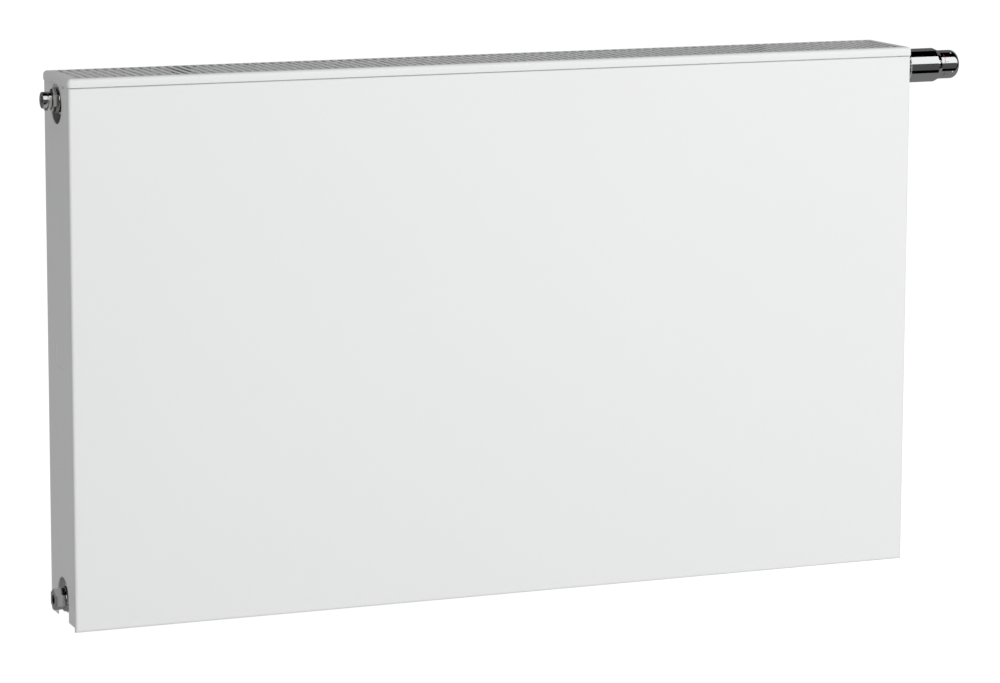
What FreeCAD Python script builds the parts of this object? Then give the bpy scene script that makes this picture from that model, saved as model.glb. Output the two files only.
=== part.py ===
import FreeCAD, Part
import math
import os
import Sketcher
from FreeCAD import Placement, Rotation, Vector

# A wall-hung steel panel radiator with two water panels, two sheets of fins, a flat front plate
# and a thermostatic valve in its upper right corner. It is fed from below, at the right.
# The origin is the lower end of the supply connection, on its axis. +X runs to the valve side,
# -Y faces the room and +Z is up, so the water connections and the hubs lie in the plane Y = 0.

doc = FreeCAD.newDocument("radiator")
dims = doc.addObject("Spreadsheet::Sheet", "dims")

DIMENSIONS = [
    # the whole radiator
    ("length", 1000),
    ("height", 600),
    ("depth", 102),
    ("hub_inset", 27),
    ("tee_inset", 35),
    ("pipe_spacing", 50),
    # top grille
    ("cap_sheet", 0.8),
    ("cap_gap", 0.3),
    ("sheet_gap", 0.1),
    ("cap_lip", 9.65),
    ("cap_bend", 4.5),
    ("cap_corner", 4),
    ("slot_pitch", 10),
    ("slot_width", 5.4),
    ("slot_front_margin", 8),
    ("slot_back_margin", 6),
    ("slot_end_margin", 10),
    ("clip_sheet", 0.8),
    ("clip_width", 22),
    ("clip_flange", 7),
    ("clip_drop", 8.5),
    # front plate and side covers
    ("plate_sheet", 1),
    ("plate_return", 4.4),
    ("plate_bend", 3),
    ("cover_bottom", 5),
    ("cover_flange", 9),
    ("cover_gap", 0.2),
    ("cover_hole_radius", 21.75),
    ("cover_hole_drop", 4.4),
    ("notch_radius", 22),
    ("notch_rise", 28.75),
    ("recess_width", 35),
    ("recess_height", 27),
    ("recess_low", 283),
    ("recess_depth", 0.8),
    ("rivet_radius", 1.4),
    ("rivet_shank", 0.9),
    ("rivet_front", 22),
    ("rivet_drop", 11.4),
    ("tool_past", 1),
    # water panels
    ("panel_depth", 12.5),
    ("panel_sheet", 1.25),
    ("panel_inset", 4),
    ("panel_bottom", 5),
    ("panel_top_drop", 1.1),
    ("channel_pitch", 33.3333),
    ("channel_base", 26),
    ("channel_crest", 18),
    ("header_base", 34),
    ("header_crest", 24),
    ("header_inset", 14),
    ("port_radius", 9),
    # fins
    ("fin_sheet", 0.5),
    ("fin_depth", 23),
    ("fin_weld_width", 14),
    ("fin_end_drop", 21),
    # hub tees and their plugs
    ("tee_radius", 15.5),
    ("tee_end", 5),
    ("thread_radius", 10.5),
    ("thread_fit", 0.05),
    ("thread_length", 12),
    ("gasket_thick", 0.8),
    ("gasket_radius", 13.5),
    ("flange_radius", 14),
    ("flange_thick", 3),
    ("plug_hex_flats", 21),
    ("plug_hex_reach", 10),
    ("plug_key_flats", 10),
    ("plug_key_depth", 6),
    ("vent_hex_reach", 5),
    ("vent_neck_radius", 6),
    ("vent_neck_reach", 13),
    ("nozzle_radius", 9),
    ("nozzle_reach", 15),
    ("nozzle_wall", 1.6),
    ("spout_radius", 2.2),
    ("spout_bore", 1.1),
    ("spout_reach", 11),
    ("bleed_radius", 4),
    ("bleed_depth", 1.5),
    ("bleed_key", 5),
    ("bleed_stand", 1),
    # lower connections and riser
    ("nipple_radius", 13.2),
    ("nipple_bore", 8),
    ("nipple_length", 11),
    ("nipple_seat", 3),
    ("fitting_radius", 15),
    ("fitting_top", 36),
    ("riser_radius", 7.5),
    ("riser_wall", 1),
    ("riser_bend", 20),
    ("socket_length", 7),
    ("inlet_radius", 11),
    ("inlet_reach", 64),
    ("inlet_web", 3),
    ("strap_thick", 6),
    ("strap_width", 16),
    # hanging lugs
    ("lug_inset", 154),
    ("lug_height", 70),
    ("lug_end_drop", 60),
    ("lug_sheet", 2),
    ("lug_slot", 18),
    ("lug_stand", 7),
    ("lug_foot", 10),
    # valve insert
    ("seat_depth", 44),
    ("seat_radius", 4.5),
    ("seat_thick", 4),
    ("chamber_radius", 7.5),
    ("insert_port", 5),
    ("valve_flats", 28),
    ("union_radius", 15),
    ("union_reach", 9),
    ("ring_seat_radius", 9),
    ("ring_seat_reach", 12.2),
    ("ring_radius", 13.5),
    ("ring_thick", 3),
    ("ring_notch", 3),
    ("spring_bore", 6),
    ("ledge_depth", 20),
    ("ledge_thick", 4),
    ("gland_depth", 2),
    ("gland_drop", 1),
    ("spindle_radius", 2),
    ("spindle_reach", 14.2),
    ("spindle_collar", 5.2),
    ("collar_depth", 6),
    ("collar_thick", 1.5),
    ("disc_radius", 6.3),
    ("disc_thick", 3),
    ("disc_lift", 1.6),
    ("spring_wire", 0.8),
    ("spring_mean", 4.2),
    # thermostatic head
    ("running_fit", 0.06),
    ("nut_side", 2.2),
    ("nut_start", 0.5),
    ("nut_end", 16.5),
    ("nut_wall", 2),
    ("nut_grooves", 24),
    ("groove_radius", 0.8),
    ("groove_depth", 0.53),
    ("neck_radius", 12),
    ("cage_start", 19),
    ("cage_floor", 21),
    ("cage_end", 72),
    ("cage_radius", 15),
    ("cage_flange", 1.8),
    ("cage_play", 0.1),
    ("sleeve_radius", 19.5),
    ("sleeve_wall", 1.9),
    ("sleeve_shoulder", 52.5),
    ("sleeve_end", 58),
    ("handle_radius", 16.5),
    ("handle_start", 26),
    ("handle_end", 83),
    ("handle_round", 8),
    ("handle_wall", 3),
    ("handle_room", 1),
    ("cap_disc_radius", 6),
    ("cap_disc_thick", 1.2),
    ("pin_radius", 0.8),
    ("pin_station", 72.5),
    ("pin_seat", 0.8),
    ("pin_stand", 0.4),
    ("ring_groove", 40),
    ("ring_width", 1.5),
    ("ring_grip", 0.7),
    ("ring_opening", 4),
    ("drive_radius", 6),
    ("drive_start", 63),
    ("carrier_start", 26),
    ("carrier_end", 68),
    ("carrier_wall", 1.7),
    ("carrier_floor", 59),
    ("carrier_web", 1),
    ("capsule_lead", 1),
    ("capsule_end", 49.5),
    ("push_radius", 3),
    ("overtravel_wire", 1.2),
    ("overtravel_mean", 6.15),
    ("contact_gap", 0.3),
]
for row, (alias, value) in enumerate(DIMENSIONS, 1):
    dims.set(f"A{row}", alias)
    dims.set(f"B{row}", str(value))
    dims.setAlias(f"B{row}", alias)
doc.recompute()

# Places that many pieces share, as expressions of the sheet
RIGHT = "(dims.tee_inset + dims.pipe_spacing)"
LEFT = f"({RIGHT} - dims.length)"
FRONT = "(-dims.depth / 2)"
BACK = "(dims.depth / 2)"
LAP = "(dims.cap_sheet + dims.cap_gap)"
SHEET_TOP = "(dims.height - dims.cap_bend - dims.sheet_gap)"
HUB_LOW = "dims.hub_inset"
HUB_HIGH = "(dims.height - dims.hub_inset)"
TEE_RIGHT = f"({RIGHT} - dims.tee_inset)"
FRONT_PANEL = f"({FRONT} + {LAP} + dims.plate_sheet + dims.panel_depth / 2)"
BACK_PANEL = f"({BACK} - {LAP} - dims.panel_depth / 2)"
NUT_ROOM = "(dims.nut_end - dims.nut_wall)"
NUT_RADIUS = "(dims.union_radius + dims.nut_side)"
PUSH_TIP = "(dims.spindle_reach + dims.contact_gap)"

CLOSE = 1e-6

TURN = {
    "x": Rotation(Vector(0, 1, 0), 90),
    "-x": Rotation(Vector(0, 1, 0), -90),
    "y": Rotation(Vector(1, 0, 0), -90),
    "z": Rotation(),
}


def size(expression):
    """The value that an expression of the sheet has now, in mm."""
    return float(dims.evalExpression(str(expression)))


def bind(item, **expressions):
    """Ties an object's properties to expressions of the sheet."""
    for name, expression in expressions.items():
        item.setExpression(name, str(expression))


def place(item, at, rotation=Rotation()):
    """Ties an object's place to three expressions, with a fixed turn."""
    item.Placement = Placement(Vector(*(size(e) for e in at)), rotation)
    for axis, expression in zip("xyz", at):
        item.setExpression(f"Placement.Base.{axis}", str(expression))
    return item


def box(name, low, high):
    """A block between two corners."""
    item = doc.addObject("Part::Box", name)
    spans = [f"({b}) - ({a})" for a, b in zip(low, high)]
    bind(item, Length=spans[0], Width=spans[1], Height=spans[2])
    return place(item, low)


def rod(name, axis, at, radius, run):
    """A cylinder that starts at a point and runs along an axis."""
    item = doc.addObject("Part::Cylinder", name)
    bind(item, Radius=radius, Height=run)
    return place(item, at, TURN[axis])


def hexagon(name, axis, at, flats, run):
    """A six-sided bar that starts at a point and runs along an axis."""
    item = doc.addObject("Part::Prism", name)
    item.Polygon = 6
    bind(item, Circumradius=f"({flats}) / 2 / cos(30)", Height=run)
    return place(item, at, TURN[axis])


def joined(name, items):
    item = doc.addObject("Part::MultiFuse", name)
    item.Shapes = items
    return item


def cut(name, base, tools):
    item = doc.addObject("Part::Cut", name)
    item.Base = base
    item.Tool = tools[0] if len(tools) == 1 else joined(name + "_tools", tools)
    return item


def plane(body, role):
    return next(f for f in body.Origin.OriginFeatures if f.Role == role)


def sketch_on(body, role, name):
    sketch = body.newObject("Sketcher::SketchObject", name)
    sketch.AttachmentSupport = [(plane(body, role), "")]
    sketch.MapMode = "FlatFace"
    return sketch


def tie(sketch, corner, position, axis, expression):
    """Holds one point of a sketch at a distance from the sketch's origin."""
    constraint = sketch.addConstraint(
        Sketcher.Constraint(f"Distance{axis}", -1, 1, corner, position, size(expression))
    )
    sketch.setExpression(f"Constraints[{constraint}]", str(expression))


def outline(sketch, points):
    """A closed outline of straight lines between points given as expressions."""
    spots = [Vector(size(a), size(b), 0) for a, b in points]
    count = len(spots)
    for k in range(count):
        sketch.addGeometry(Part.LineSegment(spots[k], spots[(k + 1) % count]), False)
    for k in range(count):
        sketch.addConstraint(Sketcher.Constraint("Coincident", k, 2, (k + 1) % count, 1))
    for k, (a, b) in enumerate(points):
        tie(sketch, k, 1, "X", a)
        tie(sketch, k, 1, "Y", b)


def circle(sketch, across, up, radius):
    index = sketch.addGeometry(
        Part.Circle(Vector(size(across), size(up), 0), Vector(0, 0, 1), size(radius)), False
    )
    tie(sketch, index, 3, "X", across)
    tie(sketch, index, 3, "Y", up)
    constraint = sketch.addConstraint(Sketcher.Constraint("Radius", index, size(radius)))
    sketch.setExpression(f"Constraints[{constraint}]", str(radius))


def long_hole(sketch, across, low, high, radius):
    """A slot with round ends that runs up the sketch between two end centres."""
    x, y0, y1, r = (size(e) for e in (across, low, high, radius))
    ends = ((y1, 0, 180), (y0, 180, 360))
    for y, start, end in ends:
        whole = Part.Circle(Vector(x, y, 0), Vector(0, 0, 1), r)
        sketch.addGeometry(Part.ArcOfCircle(whole, math.radians(start), math.radians(end)), False)
    sketch.addGeometry(Part.LineSegment(Vector(x - r, y1, 0), Vector(x - r, y0, 0)), False)
    sketch.addGeometry(Part.LineSegment(Vector(x + r, y0, 0), Vector(x + r, y1, 0)), False)
    for first, a, second, b in ((0, 2, 2, 1), (2, 2, 1, 1), (1, 2, 3, 1), (3, 2, 0, 1)):
        sketch.addConstraint(Sketcher.Constraint("Coincident", first, a, second, b))
    for index, up in ((0, high), (1, low)):
        tie(sketch, index, 3, "X", across)
        tie(sketch, index, 3, "Y", up)
        sketch.addConstraint(Sketcher.Constraint("Horizontal", index, 1, index, 3))
        sketch.addConstraint(Sketcher.Constraint("Horizontal", index, 2, index, 3))
        constraint = sketch.addConstraint(Sketcher.Constraint("Radius", index, r))
        sketch.setExpression(f"Constraints[{constraint}]", str(radius))


def pad(body, sketch, name, run, backwards=False):
    feature = body.newObject("PartDesign::Pad", name)
    feature.Profile = sketch
    feature.Reversed = backwards
    feature.setExpression("Length", str(run))
    return feature


def pocket(body, sketch, name, run, backwards=False):
    feature = body.newObject("PartDesign::Pocket", name)
    feature.Profile = sketch
    feature.Reversed = backwards
    feature.setExpression("Length", str(run))
    doc.recompute()
    return feature


def rounded(body, base, name, chosen, radius):
    """Rounds the edges of a feature that a test picks."""
    doc.recompute()
    edges = [f"Edge{n}" for n, e in enumerate(base.Shape.Edges, 1) if chosen(e)]
    feature = body.newObject("PartDesign::Fillet", name)
    feature.Base = (base, edges)
    feature.setExpression("Radius", str(radius))
    doc.recompute()
    return feature


def turned(name, points, at=(RIGHT, 0, HUB_HIGH)):
    """A lathe-turned piece on an axis along X. Points are (station, radius), from the given place."""
    body = doc.addObject("PartDesign::Body", name)
    sketch = sketch_on(body, "XZ_Plane", name + "_profile")
    outline(sketch, points)
    feature = body.newObject("PartDesign::Revolution", name + "_turning")
    feature.Profile = sketch
    feature.ReferenceAxis = (sketch, ["H_Axis"])
    feature.Angle = 360
    place(body, at)
    doc.recompute()
    return body


def tube(name, start, end, outer, inner, at=(RIGHT, 0, HUB_HIGH)):
    return turned(name, [(start, inner), (end, inner), (end, outer), (start, outer)], at)


def spring(name, start, end, mean, wire, turns):
    """A round-wire compression spring on the valve's axis, between two stations."""
    item = doc.addObject("Part::Feature", name)
    run = size(end) - size(start) - size(wire)
    coil = Part.makeHelix(run / turns, run, size(mean))
    section = Part.Wire([Part.makeCircle(size(wire) / 2, Vector(size(mean), 0, 0), Vector(0, 1, 0))])
    item.Shape = Part.Wire(coil.Edges).makePipeShell([section], True, True)
    middle = f"{RIGHT} + {start} + {wire} / 2"
    item.Placement = Placement(Vector(size(middle), 0, size(HUB_HIGH)), TURN["x"])
    return item


pieces = []


def keep(item, label):
    """Names a finished piece."""
    item.Label = label
    pieces.append(item)
    return item


# ---- Water panels: two pressed sheets, welded along the lands between their channels ----

CHANNELS = "floor((dims.length - 2 * dims.panel_inset - dims.channel_pitch / 2) / dims.channel_pitch)"
MIDDLE = f"({LEFT} / 2 + {RIGHT} / 2)"


def channel_centres():
    count = int(round(size(CHANNELS)))
    start = size(MIDDLE) - (count - 1) * size("dims.channel_pitch") / 2
    return [start + k * size("dims.channel_pitch") for k in range(count)]


def six_sided(base, crest, half_depth, land):
    """Half-widths and heights of a pressed channel's section, seen along the channel."""
    return [
        (-base / 2, land),
        (-crest / 2, half_depth),
        (crest / 2, half_depth),
        (base / 2, land),
        (base / 2, -land),
        (crest / 2, -half_depth),
        (-crest / 2, -half_depth),
        (-base / 2, -land),
    ]


def bar(section, start, run, to_point):
    """Extrudes a section, whose corners to_point places, along the run."""
    corners = [to_point(a, b) + start for a, b in section]
    return Part.Face(Part.makePolygon(corners + corners[:1])).extrude(run)


def pressed(base, crest, header_base, header_crest, half_depth, land, end_inset):
    """The channels and headers of a water panel as one shape, about Y = 0."""
    low = size(HUB_LOW)
    high = size(HUB_HIGH)
    parts = []
    section = six_sided(base, crest, half_depth, land)
    upright = Vector(0, 0, high - low)
    for x in channel_centres():
        parts.append(bar(section, Vector(x, 0, low), upright, lambda a, b: Vector(a, b, 0)))
    section = six_sided(header_base, header_crest, half_depth, land)
    start = size(LEFT) + end_inset
    run = Vector(size("dims.length") - 2 * end_inset, 0, 0)
    for z in (low, high):
        parts.append(bar(section, Vector(start, 0, z), run, lambda a, b: Vector(0, b, a)))
    return parts


# A pressed wall slopes, so the inside's base narrows by this many sheet thicknesses a side,
# and between the welds the two sheets stand this share of a sheet apart
WALL_SLOPE = 1.3
SEAM_SHARE = 1 / 8


def water_panel(label, centre, inner_side):
    """A panel about a plane Y = centre, with two ports at each end on its inner side."""
    sheet = size("dims.panel_sheet")
    half = size("dims.panel_depth") / 2
    inset = size("dims.panel_inset")
    bottom = size("dims.panel_bottom")
    top = size("dims.height - dims.panel_top_drop")
    outside = pressed(
        size("dims.channel_base"), size("dims.channel_crest"), size("dims.header_base"),
        size("dims.header_crest"), half, sheet, size("dims.header_inset"),
    )
    land = Part.makeBox(
        size("dims.length") - 2 * inset, 2 * sheet, top - bottom,
        Vector(size(LEFT) + inset, -sheet, bottom),
    )
    slope = sheet * WALL_SLOPE
    inside = pressed(
        size("dims.channel_base") - 2 * slope, size("dims.channel_crest") - slope,
        size("dims.header_base") - 2 * slope, size("dims.header_crest") - slope,
        half - sheet, sheet * SEAM_SHARE, size("dims.header_inset") + sheet,
    )
    for x in (size(LEFT) + size("dims.tee_inset"), size(TEE_RIGHT)):
        for z in (size(HUB_LOW), size(HUB_HIGH)):
            direction = Vector(0, inner_side, 0)
            inside.append(Part.makeCylinder(size("dims.port_radius"), half, Vector(x, 0, z), direction))
    body = land.multiFuse(outside).removeSplitter()
    item = doc.addObject("Part::Feature", label)
    item.Shape = body.cut(inside[0].multiFuse(inside[1:]))
    item.Placement = Placement(Vector(0, size(centre), 0), Rotation())
    return keep(item, label)


water_panel("front_water_panel", FRONT_PANEL, 1)
water_panel("rear_water_panel", BACK_PANEL, -1)


# ---- Fins: one folded sheet on the inner side of each panel, welded to the channels ----

def fins(label, weld_face, inward):
    """A square-folded sheet whose weld strips lie on weld_face and which reaches inward."""
    sheet = size("dims.fin_sheet")
    reach = size("dims.fin_depth")
    half = size("dims.fin_weld_width") / 2
    centres = channel_centres()[1:-1]
    near = []
    far = []
    for k, x in enumerate(centres):
        near += [(x - half, reach), (x - half, 0)] if k else [(x - half, 0)]
        near += [(x + half, 0), (x + half, reach)] if k < len(centres) - 1 else [(x + half, 0)]
        inner = half - sheet
        far += [(x - inner, reach - sheet), (x - inner, sheet)] if k else [(x - half, sheet)]
        last = k == len(centres) - 1
        far += [(x + half, sheet)] if last else [(x + inner, sheet), (x + inner, reach - sheet)]
    # the outer line of a fold swaps sides with the inner one where the sheet crosses over
    line = []
    back = []
    for (x0, y0), (x1, y1) in zip(near, far):
        if y0 >= reach - sheet / 2:
            side = sheet if x0 > x1 else -sheet
            line.append((x0, reach - sheet))
            back.append((x0 - side, reach))
        else:
            line.append((x0, y0))
            back.append((x1, y1))
    corners = line + back[::-1]
    low = size(HUB_LOW) + size("dims.fin_end_drop")
    high = size(HUB_HIGH) - size("dims.fin_end_drop")
    points = [Vector(x, y * inward, low) for x, y in corners]
    item = doc.addObject("Part::Feature", label)
    item.Shape = Part.Face(Part.makePolygon(points + points[:1])).extrude(Vector(0, 0, high - low))
    item.Placement = Placement(Vector(0, size(weld_face), 0), Rotation())
    return keep(item, label)


fins("front_fins", f"{FRONT_PANEL} + dims.panel_depth / 2", 1)
fins("rear_fins", f"{BACK_PANEL} - dims.panel_depth / 2", -1)


# ---- Flat front plate: a shallow tray, open to the back, hung on the front panel ----

front = doc.addObject("PartDesign::Body", "front_plate")
sketch = sketch_on(front, "XZ_Plane", "front_outline")
outline(sketch, [
    (f"{LEFT} + {LAP}", 0),
    (f"{RIGHT} - {LAP}", 0),
    (f"{RIGHT} - {LAP}", SHEET_TOP),
    (f"{LEFT} + {LAP}", SHEET_TOP),
])
sheet_block = pad(front, sketch, "front_block", "dims.plate_return", True)
place(front, (0, f"{FRONT} + {LAP}", 0))


def on_front_rim(edge):
    return abs(edge.BoundBox.YMax) < CLOSE and abs(edge.BoundBox.YMin) < CLOSE


def stands_at(edge, x, y):
    """Whether an edge is the upright one at a point of the plan."""
    bounds = edge.BoundBox
    upright = bounds.XLength < CLOSE and bounds.YLength < CLOSE
    return upright and abs(bounds.XMin - x) < CLOSE and abs(bounds.YMin - y) < CLOSE


rounded(front, sheet_block, "front_bends", on_front_rim, "dims.plate_bend")
sketch = sketch_on(front, "XZ_Plane", "front_hollow")
sketch.setExpression("AttachmentOffset.Base.z", "-dims.plate_return")
outline(sketch, [
    (f"{LEFT} + {LAP} + dims.plate_sheet", "dims.plate_sheet"),
    (f"{RIGHT} - {LAP} - dims.plate_sheet", "dims.plate_sheet"),
    (f"{RIGHT} - {LAP} - dims.plate_sheet", f"{SHEET_TOP} - dims.plate_sheet"),
    (f"{LEFT} + {LAP} + dims.plate_sheet", f"{SHEET_TOP} - dims.plate_sheet"),
])
pocket(front, sketch, "front_inside", "dims.plate_return - dims.plate_sheet", True)
keep(front, "front_plate")


# ---- Side covers: channel-shaped sheets whose flanges clasp the panels' edges ----

def side_cover(label, edge, side):
    """The cover at one end. side is 1 at the left end and -1 at the right, towards the middle."""
    front_y = f"{FRONT} + {LAP} + dims.plate_return + dims.cover_gap"
    back_y = f"{BACK} - {LAP}"
    sheet = "dims.plate_sheet"

    def inward(distance):
        return f"{edge} + {side} * ({distance})"

    body = doc.addObject("PartDesign::Body", label)
    sketch = sketch_on(body, "XY_Plane", label + "_plan")
    outline(sketch, [
        (inward(LAP), front_y),
        (inward(f"{LAP} + dims.cover_flange"), front_y),
        (inward(f"{LAP} + dims.cover_flange"), f"{front_y} + {sheet}"),
        (inward(f"{LAP} + {sheet}"), f"{front_y} + {sheet}"),
        (inward(f"{LAP} + {sheet}"), f"{back_y} - {sheet}"),
        (inward(f"{LAP} + dims.cover_flange"), f"{back_y} - {sheet}"),
        (inward(f"{LAP} + dims.cover_flange"), back_y),
        (inward(LAP), back_y),
    ])
    height = f"{SHEET_TOP} - dims.cover_bottom"
    block = pad(body, sketch, label + "_sheet", height)
    place(body, (0, 0, "dims.cover_bottom"))
    outer_x = size(inward(LAP))
    back_edge = size(back_y)
    inner_x = size(inward(f"{LAP} + {sheet}"))

    def back_bend(edge_line):
        return stands_at(edge_line, outer_x, back_edge)

    def back_bend_inside(edge_line):
        return stands_at(edge_line, inner_x, back_edge - size(sheet))

    bend = rounded(body, block, label + "_bend", back_bend, "dims.plate_bend")
    rounded(body, bend, label + "_bend_inside", back_bend_inside, f"dims.plate_bend - {sheet}")
    # the pressed recess: its floor stands inside the cover by its depth
    low = "dims.recess_low - dims.cover_bottom"
    for step, run, margin, pressing in (
        ("boss", inward(f"{LAP} + {sheet}"), sheet, pad),
        ("dish", inward(LAP), "0", pocket),
    ):
        sketch = sketch_on(body, "YZ_Plane", f"{label}_{step}")
        sketch.setExpression("AttachmentOffset.Base.z", run)
        outline(sketch, [
            (f"-dims.recess_width / 2 - {margin}", f"{low} - {margin}"),
            (f"dims.recess_width / 2 + {margin}", f"{low} - {margin}"),
            (f"dims.recess_width / 2 + {margin}", f"{low} + dims.recess_height + {margin}"),
            (f"-dims.recess_width / 2 - {margin}", f"{low} + dims.recess_height + {margin}"),
        ])
        backwards = side < 0 if pressing is pad else side > 0
        pressing(body, sketch, f"{label}_{step}_step", "dims.recess_depth", backwards)
    # holes for the hub's plug or valve, and for the rivet, and the notch at the lower hub
    through = f"{LAP} + {sheet} + dims.recess_depth + dims.tool_past"
    for name, hole_y, hole_z, radius in (
        ("hub_hole", "0", f"{HUB_HIGH} - dims.cover_hole_drop - dims.cover_bottom",
         "dims.cover_hole_radius"),
        ("rivet_hole", f"{FRONT} + dims.rivet_front",
         "dims.height - dims.rivet_drop - dims.cover_bottom", "dims.rivet_shank"),
        ("notch_arch", "0", "dims.notch_rise - dims.cover_bottom", "dims.notch_radius"),
    ):
        sketch = sketch_on(body, "YZ_Plane", f"{label}_{name}")
        sketch.setExpression("AttachmentOffset.Base.z", edge)
        circle(sketch, hole_y, hole_z, radius)
        pocket(body, sketch, f"{label}_{name}_cut", through, side > 0)
    sketch = sketch_on(body, "YZ_Plane", f"{label}_notch")
    sketch.setExpression("AttachmentOffset.Base.z", edge)
    outline(sketch, [
        ("-dims.notch_radius", "-dims.cover_bottom"),
        ("dims.notch_radius", "-dims.cover_bottom"),
        ("dims.notch_radius", "dims.notch_rise - dims.cover_bottom"),
        ("-dims.notch_radius", "dims.notch_rise - dims.cover_bottom"),
    ])
    pocket(body, sketch, f"{label}_notch_cut", through, side > 0)
    return keep(body, label)


side_cover("left_side_cover", LEFT, 1)
side_cover("right_side_cover", RIGHT, -1)

RIVET_HEAD = "dims.cap_gap"

# A blind rivet in each cover's upper front corner
for label, edge, side in (("left", LEFT, 1), ("right", RIGHT, -1)):
    start = f"{edge} + {side} * ({LAP} - {RIVET_HEAD})"
    axis = "x" if side > 0 else "-x"
    rivet_y = f"{FRONT} + dims.rivet_front"
    rivet_z = "dims.height - dims.rivet_drop"
    head = rod(f"{label}_rivet_head", axis, (start, rivet_y, rivet_z), "dims.rivet_radius", RIVET_HEAD)
    shank = rod(f"{label}_rivet_shank", axis, (start, rivet_y, rivet_z), "dims.rivet_shank",
                f"{RIVET_HEAD} + dims.plate_sheet")
    keep(joined(f"{label}_cover_rivet", [head, shank]), f"{label}_cover_rivet")


# ---- Top grille: a slotted tray that laps over the plate and the covers, and lifts off ----

grille = doc.addObject("PartDesign::Body", "top_grille")
sketch = sketch_on(grille, "XY_Plane", "grille_plan")
outline(sketch, [(LEFT, FRONT), (RIGHT, FRONT), (RIGHT, BACK), (LEFT, BACK)])
tray = pad(grille, sketch, "grille_block", "dims.cap_lip")
place(grille, (0, 0, "dims.height - dims.cap_lip"))
lip = size("dims.cap_lip")
corners = rounded(
    grille, tray, "grille_corners",
    lambda e: e.BoundBox.ZLength > lip / 2, "dims.cap_corner",
)
bends = rounded(
    grille, corners, "grille_bends",
    lambda e: e.BoundBox.ZMin > lip - CLOSE, "dims.cap_bend",
)
hollow = grille.newObject("PartDesign::Thickness", "grille_inside")
hollow.Base = (bends, [
    f"Face{n}" for n, face in enumerate(bends.Shape.Faces, 1) if face.BoundBox.ZMax < CLOSE
])
hollow.setExpression("Value", "dims.cap_sheet")
hollow.Reversed = True
hollow.Mode = 0
hollow.Join = 0
doc.recompute()
sketch = sketch_on(grille, "XY_Plane", "grille_slot")
SLOTS = "floor((dims.length - 2 * dims.slot_end_margin) / dims.slot_pitch)"
long_hole(
    sketch, f"{MIDDLE} - ({SLOTS} - 1) * dims.slot_pitch / 2",
    f"{FRONT} + dims.slot_front_margin + dims.slot_width / 2",
    f"{BACK} - dims.slot_back_margin - dims.slot_width / 2", "dims.slot_width / 2",
)
slot = pocket(grille, sketch, "grille_first_slot", "dims.cap_lip + dims.tool_past", True)
row_of_slots = grille.newObject("PartDesign::LinearPattern", "grille_slots")
row_of_slots.Originals = [slot]
row_of_slots.Direction = (sketch, ["H_Axis"])
row_of_slots.setExpression("Length", f"({SLOTS} - 1) * dims.slot_pitch")
row_of_slots.setExpression("Occurrences", SLOTS)
grille.Tip = row_of_slots
keep(grille, "top_grille")

# Spring clips under the grille, which hang on the panels' top seams
clips = []
clip_top = "dims.height - dims.cap_sheet"
for k, where in enumerate((f"{LEFT} + dims.lug_inset", f"{RIGHT} - dims.lug_inset")):
    for name, seam, inward in (
        ("front", f"{FRONT_PANEL} + dims.panel_sheet + dims.cap_gap", 1),
        ("rear", f"{BACK_PANEL} - dims.panel_sheet - dims.cap_gap", -1),
    ):
        ends = [f"{seam}", f"{seam} + {inward} * dims.clip_sheet", f"{seam} + {inward} * dims.clip_flange"]
        leg = sorted(ends[:2], key=size)
        flange = sorted([ends[0], ends[2]], key=size)
        x0 = f"{where} - dims.clip_width / 2"
        x1 = f"{where} + dims.clip_width / 2"
        clips.append(joined(f"{name}_clip_{k}", [
            box(f"{name}_clip_leg_{k}", (x0, leg[0], f"{clip_top} - dims.clip_drop"),
                (x1, leg[1], clip_top)),
            box(f"{name}_clip_flange_{k}", (x0, flange[0], f"{clip_top} - dims.clip_sheet"),
                (x1, flange[1], clip_top)),
        ]))
grille_clips = doc.addObject("Part::Compound", "grille_clips")
grille_clips.Links = clips
keep(grille_clips, "grille_clips")


# ---- Hub tees: forged steel tees that join the two panels at each corner ----

def hub_tee(label, corner_x, hub_z, side, extra=(), bores=(), thread_past="0"):
    """A tee across the panels with a branch towards the end. side is -1 at the left, 1 at the right.
    Its thread runs in from the branch's face to thread_past beyond the tee's middle."""
    across_start = f"{FRONT_PANEL} + dims.panel_depth / 2"
    across_run = f"{BACK_PANEL} - {FRONT_PANEL} - dims.panel_depth"
    axis = "x" if side > 0 else "-x"
    branch = "dims.tee_inset - dims.tee_end"
    solid = joined(label + "_forging", [
        rod(label + "_across", "y", (corner_x, across_start, hub_z), "dims.tee_radius", across_run),
        rod(label + "_branch", axis, (corner_x, 0, hub_z), "dims.tee_radius", branch),
        *extra,
    ])
    tee = cut(label, solid, [
        rod(label + "_way", "y", (corner_x, across_start, hub_z), "dims.port_radius", across_run),
        rod(label + "_thread", axis, (f"{corner_x} - {side} * ({thread_past})", 0, hub_z),
            "dims.thread_radius", f"{branch} + {thread_past}"),
        *bores,
    ])
    return keep(tee, label)


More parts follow.
